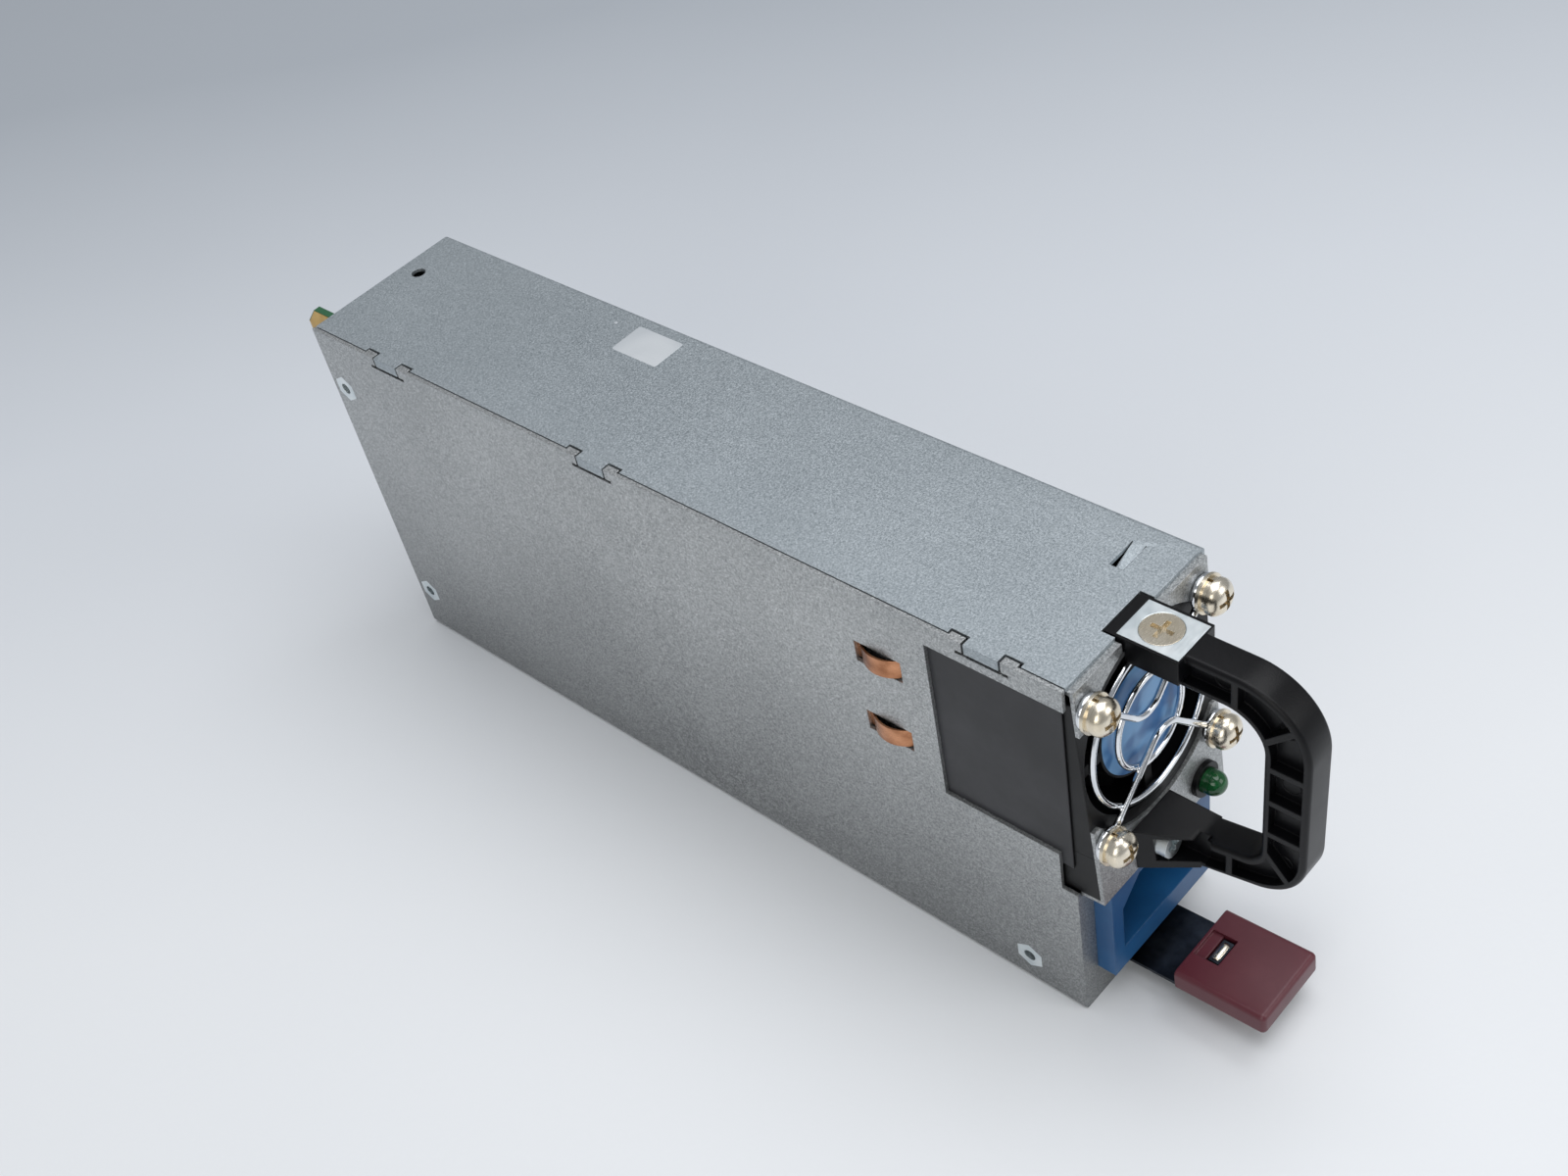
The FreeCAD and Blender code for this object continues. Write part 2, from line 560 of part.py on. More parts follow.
def make_handle():
    """Moulded carrying loop: an I section with ribbed pockets, a boss on top and a spread foot below."""
    half = value("handle_thick") / 2
    band = outline(handle_corners())
    loop = band.extrude(V(2 * half, 0, 0))
    loop.translate(V(-half, 0, 0))
    long_edges = [e for e in loop.Edges if abs(abs(e.CenterOfMass.x) - half) < 1e-6 and e.CenterOfMass.y < -15]
    loop = loop.makeFillet(0.8, long_edges)
    pocket = outline(handle_corners(value("handle_inset"))).extrude(V(value("handle_pocket"), 0, 0))
    rib = 1.2
    reach, low, top = value("handle_reach"), value("handle_low"), value("handle_top")
    ribs = []
    for z in (low + 13, low + 21, low + 29):
        ribs.append(Part.makeBox(10, 12, rib, V(-5, -reach - 2, z)))
    for y, z, angle in ((-reach + 5, top - 8, 45), (-reach + 6, low + 6.5, -40)):
        slab = Part.makeBox(10, rib, 26, V(-5, -rib / 2, -13))
        slab.rotate(V(), V(1, 0, 0), angle)
        slab.translate(V(0, y, z))
        ribs.append(slab)
    ribs.append(Part.makeBox(10, rib, 30, V(-5, -21, top - 20)))
    ribs.append(Part.makeBox(10, rib, 30, V(-5, -20.5, low - 10)))
    pocket = pocket.cut(Part.makeCompound(ribs))
    near, far = pocket.copy(), pocket.copy()
    near.translate(V(-half - 0.01, 0, 0))
    far.translate(V(half - value("handle_pocket") + 0.01, 0, 0))
    loop = loop.cut(near).cut(far)
    whole = loop.fuse(make_boss()).fuse(make_foot()).removeSplitter()
    return node("handle", plain(whole.cut(handle_voids())))


def make_boss():
    """Block that the top screw clamps, stepped over the edge of the bracket and into the cover's notch."""
    half, top, lid = value("boss_wide") / 2, value("case_high"), value("boss_lid")
    low = value("boss_low")
    block = Part.makeBox(2 * half, 11.5, top - low, V(-half, -11.5, low)).cut(bracket_space(low - 1, top - lid))
    return block.fuse(Part.makeBox(2 * half, 11.5 + 2.4, lid, V(-half, -11.5, top - lid)))


def bracket_space(low, high):
    """Everything behind the front face of the leaning bracket, between two heights."""
    front = value("fan_front") - value("bracket_wall")
    space = Part.makeBox(60, 40, 2 * (high - low), V(-30, front, low))
    space.Placement = LEAN.multiply(space.Placement)
    return space.common(Part.makeBox(60, 80, high - low, V(-30, -40, low)))


def make_foot():
    """Foot that widens from the loop's section to its seat on the lower bracket."""
    half, low = value("handle_thick") / 2, value("handle_low")
    low_edge, high_edge = value("foot_low"), value("foot_high")
    drop = value("case_high") - (low_edge + high_edge) / 2
    seat = value("fan_front") - value("bracket_wall") - drop * math.sin(math.radians(value("fan_lean")))

    def ring(y, x_low, x_high, z_low, z_high):
        corners = [V(x_low, y, z_low), V(x_high, y, z_low), V(x_high, y, z_high), V(x_low, y, z_high)]
        return Part.makePolygon(corners + corners[:1])

    wide = ring(seat + 1, value("foot_left"), value("foot_right"), low_edge, high_edge)
    narrow = ring(-14.4, -half, half, low - 4.6, low + 2.8)
    return Part.makeLoft([wide, narrow], True, True).cut(bracket_space(low_edge - 5, high_edge + 5))


def handle_voids():
    """Seat of the tab, the screw's way through the boss, and the pocket and hole of the foot screw."""
    top, half = value("case_high"), value("boss_wide") / 2
    thick, y = value("tab_thick"), value("tab_screw_y")
    seat = Part.makeBox(2 * half - 0.9, 11.8, 3, V(-half + 0.45, -11.3, top - thick))
    hole = Part.makeCylinder(1.6, 6, V(0, y, top - 6))
    sink = Part.makeCone(2, 3.8, 1.8, V(0, y, top - 1.8))
    length, inset = value("insert_long"), value("insert_inset")
    insert = Part.makeCylinder(value("insert_radius"), length, V(0, y, top - inset - length))
    foot_x = (value("foot_left") + value("foot_right")) / 2 - 1
    foot_z = (value("foot_low") + value("foot_high")) / 2
    front = value("fan_front") - value("bracket_wall") - 3
    pocket = Part.makeBox(11, 9, 6, V(foot_x - 8, front - 9, foot_z - 3))
    screw = Part.makeCylinder(1.6, 5, V(foot_x, front - 1, foot_z), V(0, 1, 0))
    below = pocket.fuse(screw)
    below.Placement = LEAN.multiply(below.Placement)
    return Part.makeCompound([seat.fuse(sink).fuse(hole).fuse(insert), below])


def make_handle_fixings():
    """Steel tab, its countersunk screw, the threaded insert, and the pan head screw of the foot."""
    plate = box(("boss_wide - 1.1", "11.6", "tab_thick"), ("-boss_wide / 2 + 0.55", "-11.2", "case_high - tab_thick"))
    sink = rod("2", "1.8", ("0", "tab_screw_y", "case_high - 1.8"), "z", top_radius="3.8")
    node("handle_tab", cut(plate, sink))
    cone = rod("1.95", "1.75", ("0", "tab_screw_y", "case_high - 1.8"), "z", top_radius="3.7")
    shank = rod("1.4", "3", ("0", "tab_screw_y", "case_high - 4.4"), "z")
    node("handle_screw", cut(joined(cone, shank), *cross_recess("4.2", ("0", "tab_screw_y", "case_high - 1.05"), "2", "z")))
    sleeve = rod("insert_radius", "insert_long", ("0", "tab_screw_y", "case_high - insert_inset - insert_long"), "z")
    node("handle_insert", cut(sleeve, rod("1.45", "6", ("0", "tab_screw_y", "case_high - 7"), "z")))
    x, z = FOOT_SCREW
    seat = "fan_front - bracket_wall - 3"
    head = rod("2.6", "2.2", (x, f"{seat} - 2.2", z), "y")
    stem = rod("1.5", "8", (x, f"{seat} - 0.5", z), "y")
    cross = cross_recess("3", (x, f"{seat} - 2.4", z), "1.3", "y")
    node("foot_screw", leaned(cut(joined(head, stem), *cross)))


# ---------------------------------------------------------------- inlet and light

BLADES = (("-pin_spread / 2", "socket_low + 4.3"), ("pin_spread / 2", "socket_low + 4.3"),
          ("0", "socket_low + 8.3"))


def make_inlet():
    """Appliance inlet: flanged blue housing whose socket has two cut corners, and its three blades."""
    flange = box(("inlet_wide", "inlet_proud", "inlet_high - inlet_low"), ("-inlet_wide / 2", "-inlet_proud", "inlet_low"))
    barrel = box(("inlet_wide - 3.6", "inlet_deep + 0.2", "inlet_high - inlet_low - 2.6"),
                 ("-inlet_wide / 2 + 1.8", "-0.2", "inlet_low + 1.3"))
    half, low = value("socket_wide") / 2, value("socket_low")
    high, corner = low + value("socket_high"), value("socket_corner")
    front = -value("inlet_proud")
    ring = [V(-half, front, low), V(half, front, low), V(half, front, high - corner),
            V(half - corner, front, high), V(-half + corner, front, high), V(-half, front, high - corner)]
    socket = plain(Part.Face(Part.makePolygon(ring + ring[:1])).extrude(V(0, value("socket_deep"), 0)))
    pins = []
    floor = "socket_deep - inlet_proud"
    for x, z in BLADES:
        pins.append(box(("pin_thick", "pin_len + 9", "pin_tall"), (f"{x} - pin_thick / 2", f"{floor} - pin_len", z)))
    slots = []
    for x, z in BLADES:
        slots.append(box(("pin_thick", "20", "pin_tall"), (f"{x} - pin_thick / 2", f"{floor} - 1", z)))
    node("ac_inlet", cut(joined(flange, barrel), socket, *slots))
    node("inlet_blades", group(pins))


def make_light():
    """Green status light in its black holder."""
    face = "fan_front - bracket_wall"
    collar = rod("led_radius + 1.1", "1", ("led_x", f"{face} - 1", "led_z"), "y")
    sleeve = rod("led_radius + 0.5", "6", ("led_x", f"{face} - 0.5", "led_z"), "y")
    bore = rod("led_radius", "9", ("led_x", f"{face} - 2", "led_z"), "y")
    node("led_holder", leaned(cut(joined(collar, sleeve), bore)))
    radius = value("led_radius")
    long = value("led_long")
    barrel = Part.makeCylinder(radius, long, V(0, -long + 2.4, 0), V(0, 1, 0))
    dome = Part.makeSphere(radius, V(0, -long + 2.4, 0))
    lens = barrel.fuse(dome).removeSplitter()
    lens.translate(V(value("led_x"), value("fan_front") - value("bracket_wall") - 0.4, value("led_z")))
    node("status_led", leaned(plain(lens)))


# ---------------------------------------------------------------- latch

def latch_pose():
    """The latch is drawn lying flat and turned up about the root of its spring by its rest angle."""
    pivot = V(0, value("latch_pivot_y") - value("case_len") / 2, latch_pivot_z())
    turn = FreeCAD.Rotation(V(-1, 0, 0), value("latch_rest_angle"))
    return FreeCAD.Placement(pivot, turn)


def latch_pivot_z():
    """Half way through the strip."""
    return value("wall") + value("latch_lift") + value("latch_thick") / 2


def make_latch():
    """Release latch: steel strip with a wedge catch, bent up into the moulded red thumb cap."""
    half, thick = value("latch_wide") / 2, value("latch_thick")
    front = -(value("latch_pivot_y") + value("latch_reach"))
    step = value("latch_step")
    strip = Part.makeBox(2 * half, -front, thick, V(-half, front, -thick / 2))
    riser = Part.makeBox(2 * half, thick, step + thick, V(-half, front, -thick / 2))
    tongue_half = value("cap_wide") / 2 - 2.2
    tongue = Part.makeBox(2 * tongue_half, 13, thick, V(-tongue_half, front - 13 + thick, step - thick / 2))
    barb = Part.makeBox(5.4, 2.2, 1.5, V(-2.7, front - 5.4, step + thick / 2 - 0.1))
    lever = strip.fuse(riser).fuse(tongue).fuse(barb)
    catch_half, run = value("catch_wide") / 2, value("catch_len")
    catch_front = value("catch_y") - value("latch_pivot_y")
    drop = value("catch_drop")
    wedge = [V(-catch_half, catch_front, -thick / 2), V(-catch_half, catch_front, -thick / 2 - drop),
             V(-catch_half, catch_front + 1.5, -thick / 2 - drop), V(-catch_half, catch_front + run, -thick / 2)]
    catch = Part.Face(Part.makePolygon(wedge + wedge[:1])).extrude(V(2 * catch_half, 0, 0))
    window = Part.makeBox(2 * half - 5, 9, 4, V(-half + 2.5, catch_front + run + 4, -2))
    lever = lever.fuse(catch).removeSplitter().cut(window)
    strip_node = doc.addObject("Part::Feature", "lever")
    strip_node.Shape = lever
    strip_node.Placement = latch_pose()
    node("latch_lever", strip_node)
    wide, length, deep = value("cap_wide"), value("cap_len"), value("cap_thick")
    low = step + thick / 2 - deep / 2 - 0.6
    block = Part.makeBox(wide, length, deep, V(-wide / 2, front - length, low))
    edges = [e for e in block.Edges if e.CenterOfMass.y < front - 1e-3]
    block = block.makeFillet(1.1, edges)
    slit = Part.makeBox(2 * tongue_half, 12.2, thick, V(-tongue_half, front - 12.2, step - thick / 2))
    eye = Part.makeBox(6.6, 3.0, deep, V(-3.3, front - 5.8, step + thick / 2))
    relief = Part.makeBox(6.6, 2.2, 1.0, V(-3.3, front - 2.8, low + deep - 0.6))
    cap = doc.addObject("Part::Feature", "cap")
    cap.Shape = block.cut(slit).cut(eye).cut(relief)
    cap.Placement = latch_pose()
    node("latch_cap", cap)


def make_latch_root():
    """Fixed end of the latch's strip, and the two flush rivets that hold it to the tray."""
    plate = box(("latch_wide", "latch_root_len", "latch_lift + latch_thick"),
                ("-latch_wide / 2", "latch_pivot_y + 0.4", "wall"))
    holes, rivets = [], []
    for step in (0.3, 0.75):
        y = f"latch_pivot_y + 0.3 + latch_root_len * {step}"
        holes.append(rod("1.5", "9", ("0", y, "-wall"), "z"))
        shank = rod("1.5", "wall + latch_lift + latch_thick", ("0", y, "0"), "z")
        head = rod("2.6", "1", ("0", y, "wall + latch_lift + latch_thick"), "z")
        rivets.append(joined(shank, head))
    node("latch_root", cut(plate, *holes))
    node("latch_rivets", group(rivets))


# ---------------------------------------------------------------- earthing springs

def make_earthing_spring(which, z):
    """Bowed copper strip that stands out through its window and yields inwards."""
    inner_x = -value("case_wide") / 2 + value("wall")
    thick, tall = value("spring_thick"), value("spring_tall")
    start = value("spring_y") + 0.6
    stop = value("spring_y") + value("spring_window") - 0.6
    peak = -value("case_wide") / 2 - value("spring_proud")
    middle = (start + stop) / 2

    def bow(x_end, x_peak):
        return Part.Arc(V(x_end, start, 0), V(x_peak, middle, 0), V(x_end, stop, 0)).toShape()

    outer, inner = bow(inner_x, peak), bow(inner_x + thick, peak + thick)
    ends = [Part.LineSegment(V(inner_x, y, 0), V(inner_x + thick, y, 0)).toShape() for y in (start, stop)]
    strip = Part.Face(Part.Wire(Part.__sortEdges__([outer, inner] + ends))).extrude(V(0, 0, tall))
    for y in (start - 0.9, stop - 0.1):
        strip = strip.fuse(Part.makeBox(thick, 1.0, tall, V(inner_x, y, 0)))
    strip = strip.removeSplitter()
    strip.translate(V(0, 0, value(z) - tall / 2))
    node(f"earthing_spring_{which}", plain(strip))


def make_spring_backing():
    """Steel angle on the board that both earthing springs are clipped to."""
    gap = value("spring_proud") + 0.3
    low_x = -value("case_wide") / 2 + value("wall") + value("spring_thick") + gap
    high_x = -value("case_wide") / 2 + value("wall") + value("board_gap")
    low, high = value("spring_lower_z") - 5, value("spring_upper_z") + 5
    wall = Part.makeBox(0.6, 9, high - low, V(low_x, value("spring_y") + 1.4, low))
    leg = Part.makeBox(high_x - low_x, 0.8, high - low, V(low_x, value("spring_y") + 9.6, low))
    node("spring_backing", plain(wall.fuse(leg).removeSplitter()))


# ---------------------------------------------------------------- board

BOARD_X = "-case_wide / 2 + wall + board_gap"
BOARD_TOP = "-case_wide / 2 + wall + board_gap + board_thick"


def make_board():
    """Main board with the card edge tongue, on standoffs flush in the tray, and its gold contacts."""
    sheet = box(("board_thick", "case_len - board_start - wall - 0.6", "board_high - board_low"), (BOARD_X, "board_start", "board_low"))
    tongue = box(("board_thick", "tongue_len + wall + 2", "board_high - tongue_low"), (BOARD_X, "case_len - wall - 2", "tongue_low"))
    key = box(("3 * board_thick", "tongue_len", "1.6"), (f"{BOARD_X} - board_thick", "case_len + 2", "tongue_low + 22"))
    holes = []
    for y, z in STANDOFFS[:2]:
        holes.append(rod("standoff_bore + 0.1", "3 * board_thick", (f"{BOARD_X} - board_thick", y, z), "x"))
    corner = Part.Face(Part.makePolygon([V(0, -4, 0.1), V(0, 0.1, -4), V(0, 0.1, 0.1), V(0, -4, 0.1)]))
    bevel = corner.extrude(V(60, 0, 0))
    bevel.translate(V(-30, value("case_len") + value("tongue_len"), value("board_high")))
    board = cut(joined(sheet, tongue), key, plain(bevel), *holes)
    node("main_board", board)
    contacts = []
    for face in (f"{BOARD_X} - 0.1", BOARD_TOP):
        for number in range(7):
            contacts.append(box(("0.1", "tongue_len - 3", "2.2"), (face, "case_len + 2", f"tongue_low + 1.4 + 2.9 * {number}")))
        contacts.append(box(("0.1", "tongue_len - 3", "12.6"), (face, "case_len + 2", "tongue_low + 24.6")))
        contacts.append(box(("0.1", "tongue_len - 4", "10.6"), (face, "case_len + 1", "tongue_low + 38.8")))
    node("card_edge_contacts", group(contacts))


def make_standoffs():
    """Hexagonal flush heads in the tray with threaded barrels that carry the board."""
    posts, screws = [], []
    for y, z in STANDOFFS:
        head = hexagon("2 * standoff_head", "wall", (f"-{HALF}", y, z), "x")
        barrel = rod("standoff_radius", "board_gap + wall / 2", (f"-{HALF} + wall / 2", y, z), "x")
        bore = rod("standoff_bore", "board_gap + 4", (f"-{HALF} - 1", y, z), "x")
        posts.append(cut(joined(head, barrel), bore))
    for y, z in STANDOFFS[:2]:
        stem = rod("standoff_bore - 0.05", "board_thick + 4", (f"{BOARD_TOP} - board_thick - 3.5", y, z), "x")
        head = rod("2.4", "1.8", (BOARD_TOP, y, z), "x")
        screws.append(joined(stem, head))
    node("board_standoffs", group(posts))
    node("board_screws", group(screws))


SPREAD = "(case_len - board_start) / board_span"


def station(distance):
    """A place along the board. The stations spread out or close up with the length of the case."""
    return f"board_start + {distance} * {SPREAD}"


def make_primary_side():
    """Mains side of the board: filter choke, film capacitor, fuse, relay and the bulk capacitors."""
    ring = Part.makeTorus(7.5, 3.6, V(0, 0, 0), V(1, 0, 0))
    choke = doc.addObject("Part::Feature", "ring")
    choke.Shape = ring
    place(choke, (f"{BOARD_TOP} + 3.6", station(14), "board_low + 62"))
    node("filter_choke", choke)
    node("film_capacitor", box(("14", "18", "8"), (BOARD_TOP, station(4), "board_low + 36")))
    node("fuse", rod("2.6", "20", (f"{BOARD_TOP} + 2.6", station(4), "board_low + 28.2"), "y"))
    node("relay", box(("15.5", "20", "10.5"), (BOARD_TOP, station(28), "board_low + 38")))
    cans = []
    for y in (station(14), station(40)):
        can = rod("bulk_radius", "bulk_high", (BOARD_TOP, y, "board_low + 12.4"), "x")
        cans.append(cut(can, cross_groove(y)))
    node("bulk_capacitors", group(cans))


def cross_groove(y):
    """Vent groove pressed into the top of a capacitor can."""
    return box(("0.4", "2 * bulk_radius - 6", "0.8"), (f"{BOARD_TOP} + bulk_high - 0.4", f"{y} - bulk_radius + 3", "board_low + 12"))


def make_heatsink(name, y, z, fins_up):
    """Extruded comb: a base plate on edge with fins across it."""
    base = box(("sink_high", f"sink_len * {SPREAD}", "2.4"), (BOARD_TOP, y, z))
    parts = [base]
    for number in range(int(value("sink_fins"))):
        level = f"{z} + 2.3" if fins_up else f"{z} - 4.6"
        parts.append(box(("1.2", f"sink_len * {SPREAD}", "4.7"), (f"{BOARD_TOP} + 3 + {number} * (sink_high - 4.2) / (sink_fins - 1)", y, level)))
    node(name, joined(*parts))


def make_power_stage():
    """Heatsinks with their transistors, boost choke, transformer and output capacitors."""
    make_heatsink("primary_heatsink", station(56), "board_low + 70", True)
    make_heatsink("secondary_heatsink", station(88), "board_low + 6.6", False)
    tabs = []
    for number in range(4):
        tabs.append(box(("15", "10", "4.4"), (f"{BOARD_TOP} + 3", station(58 + 14.5 * number), "board_low + 65.6")))
    node("power_transistors", group(tabs))
    coil = Part.makeTorus(9.5, 4.6, V(0, 0, 0), V(1, 0, 0))
    choke = doc.addObject("Part::Feature", "coil")
    choke.Shape = coil
    place(choke, (f"{BOARD_TOP} + 4.6", station(68), "board_low + 44"))
    node("boost_choke", choke)
    place_y, place_z = f"{station(104)} - core_len / 2", "board_low + 30"
    core = box(("core_high", "core_len", "core_wide"), (BOARD_TOP, place_y, place_z))
    room = box(("core_high + 2", "core_len - 12", "core_wide - 10"), (f"{BOARD_TOP} - 1", f"{place_y} + 6", f"{place_z} + 5"))
    node("transformer_core", cut(core, room))
    bobbin = box(("core_high - 4", "core_len - 12.6", "core_wide - 10.6"), (f"{BOARD_TOP}", f"{place_y} + 6.3", f"{place_z} + 5.3"))
    node("transformer_winding", bobbin)
    cans = []
    for row in range(2):
        for number in range(4):
            cans.append(rod("output_cap_radius", "output_cap_high",
                            (BOARD_TOP, f"{station(128)} + 9.4 * {row}", f"board_low + 22 + 9.4 * {number}"), "x"))
    node("output_capacitors", group(cans))
    node("control_board", box(("20", "26", "1.6"), (BOARD_TOP, station(60), "board_low + 22")))


def make_insulator():
    """Thin plastic sheet between the tray and the solder side of the board."""
    sheet = box(("0.3", "case_len - board_start - 20", "case_high - 8"), (f"-{HALF} + wall", "board_start + 14", "4"))
    holes = []
    for y, z in STANDOFFS[:2]:
        holes.append(rod("standoff_radius + 0.4", "2", (f"-{HALF} + wall - 0.5", y, z), "x"))
    node("insulator_sheet", cut(sheet, *holes))


make_tray()
make_cover()
make_rear_panel()
make_fan_frame()
make_fan_motor()
make_fan_rotor()
make_upper_bracket()
make_lower_bracket()
make_lower_shroud()
make_window_liners()
make_finger_guard()
make_fan_fasteners()
make_handle()
make_handle_fixings()
make_inlet()
make_light()
make_latch()
make_latch_root()
for which, z in SPRINGS.items():
    make_earthing_spring(which, z)
make_spring_backing()
make_board()
make_standoffs()
make_primary_side()
make_power_stage()
make_insulator()

doc.recompute()
failed = [o.Name for o in doc.Objects if "Invalid" in o.State or "Error" in o.State]
for name, thing in nodes.items():
    if thing.Shape.isNull() or not thing.Shape.isValid() or not thing.Shape.Solids:
        failed.append(name)
if failed:
    raise RuntimeError(f"these objects failed: {failed}")

os.makedirs("parts", exist_ok=True)
for name, thing in nodes.items():
    thing.Shape.exportStep(f"parts/{name}.step")
print(len(nodes), "nodes,", sum(len(thing.Shape.Solids) for thing in nodes.values()), "solids")
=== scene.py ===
# %% [markdown]
# # A hot swap server power supply, dressed for display
# The folded steel case, the fan, the handle and the latch arrive as a frame of solids in metres.
# This lesson gives each of them a surface that tells what it was made from and how: zinc on rolled
# sheet, moulded nylon, drawn wire, turned and plated screws. A few thin things that a solid model
# leaves out, such as labels and moulding marks, are added as surfaces worked out with numpy.

# %% Load the frame
import bpy
import json
import math
import numpy as np
from mathutils import Matrix, Vector


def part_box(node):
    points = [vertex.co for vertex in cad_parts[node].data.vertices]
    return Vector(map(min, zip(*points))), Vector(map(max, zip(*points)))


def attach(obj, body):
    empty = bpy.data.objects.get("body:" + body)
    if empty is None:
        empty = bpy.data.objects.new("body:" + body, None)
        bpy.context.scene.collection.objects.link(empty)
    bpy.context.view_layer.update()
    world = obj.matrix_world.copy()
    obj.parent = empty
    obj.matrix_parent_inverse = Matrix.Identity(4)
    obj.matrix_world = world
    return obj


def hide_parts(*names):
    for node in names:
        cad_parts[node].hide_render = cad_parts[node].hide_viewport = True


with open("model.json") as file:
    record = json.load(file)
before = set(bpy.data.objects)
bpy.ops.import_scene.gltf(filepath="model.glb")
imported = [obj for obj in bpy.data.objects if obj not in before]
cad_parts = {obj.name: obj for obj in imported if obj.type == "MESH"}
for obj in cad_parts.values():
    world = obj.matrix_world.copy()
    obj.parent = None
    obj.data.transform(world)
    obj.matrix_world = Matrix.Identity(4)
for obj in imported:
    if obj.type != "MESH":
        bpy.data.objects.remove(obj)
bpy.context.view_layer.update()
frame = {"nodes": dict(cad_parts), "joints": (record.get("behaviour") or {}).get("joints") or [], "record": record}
nodes = frame["nodes"]
MM = 0.001

# %% [markdown]
# ## Smooth surfaces on the solids
# A tessellated solid has a separate corner for each face, so every cylinder would show its flats.
# Merging the corners and then splitting only the edges that turn by more than a chosen angle keeps
# creases crisp and lets round faces shade as round. The alternative is custom normals, but a pair of
# modifiers leaves the vertices themselves as they were handed over.

# %% Weld, then split at creases
CREASE = math.radians(28)


def shade_round(obj):
    """Shades an object smooth, except across edges that turn by more than the crease angle."""
    obj.data.shade_smooth()
    weld = obj.modifiers.new("weld", "WELD")
    weld.merge_threshold = 0.002 * MM
    split = obj.modifiers.new("creases", "EDGE_SPLIT")
    split.split_angle = CREASE
    return obj


for cad_node in nodes.values():
    shade_round(cad_node)
print("smoothed", len(nodes), "solids")

# %% [markdown]
# ## Colours and the node helper
# Swatches are quoted the way a paint chart prints them, as sRGB hex. The renderer works with linear
# light, so one function turns one into the other. One more adds a shader node, sets its inputs and
# links whatever is passed as a socket; with it a material reads like a recipe.

# %% Colour and shader helpers
def linear(hexcode):
    """sRGB hex to linear RGBA: c / 12.92 below 0.04045, and ((c + 0.055) / 1.055) ** 2.4 above."""
    channels = [int(hexcode[i:i + 2], 16) / 255 for i in (1, 3, 5)]
    return [c / 12.92 if c <= 0.04045 else ((c + 0.055) / 1.055) ** 2.4 for c in channels] + [1.0]


def add(tree, kind, inputs=None, **settings):
    """Adds a node, gives it its settings, and sets or links its inputs."""
    made = tree.nodes.new("ShaderNode" + kind)
    for name, setting in settings.items():
        setattr(made, name, setting)
    for name, given in (inputs or {}).items():
        if isinstance(given, bpy.types.NodeSocket):
            tree.links.new(given, made.inputs[name])
        else:
            made.inputs[name].default_value = given
    return made


def ramp(tree, fac, stops):
    """A colour ramp through (position, hex or grey level) stops."""
    made = add(tree, "ValToRGB", {"Fac": fac})
    elements = made.color_ramp.elements
    while len(elements) < len(stops):
        elements.new(0.5)
    for element, (position, shade) in zip(elements, stops):
        element.position = position
        element.color = linear(shade) if isinstance(shade, str) else (shade, shade, shade, 1)
    return made.outputs["Color"]


def start(name):
    """A fresh material with its tree, its surface shader and object coordinates."""
    material = bpy.data.materials.new(name)
    material.use_nodes = True
    tree = material.node_tree
    shader = tree.nodes["Principled BSDF"]
    place = add(tree, "TexCoord").outputs["Object"]
    return material, tree, shader, place


def set_values(shader, **values):
    """Sets constant sockets by name, with spaces for underscores."""
    for name, number in values.items():
        shader.inputs[name.replace("_", " ")].default_value = number


def relief(tree, shader, height, depth_mm, edge_mm):
    """Bumps the surface by a height field, over edges softened by a small rounding."""
    soft = add(tree, "Bevel", {"Radius": edge_mm * MM}, samples=4)
    bump = add(tree, "Bump", {"Height": height, "Distance": depth_mm * MM,
                              "Normal": soft.outputs["Normal"]})
    tree.links.new(bump.outputs["Normal"], shader.inputs["Normal"])


print("helpers ready")

# %% [markdown]
# ## Galvanised steel sheet
# Hot dipped zinc freezes into crystals. On modern coil they are small, about a millimetre, and each
# reflects a little differently. A Voronoi pattern stands for the crystals, a finer noise for the skin
# pass of the rolling mill, and long faint streaks for handling. Towards the bottom the tone falls off
# with height: this is painted shade, standing in for the darker floor that the lower sheet reflects.
# The crystals change the roughness as well as the tone, which is what makes a real sheet glitter softly as it is
# turned.

# %% Zinc coated sheet
# Painted shade: the sheet's colour is darkened from this height down to the floor.
PAINTED_SHADE_UP_TO = 62 * MM


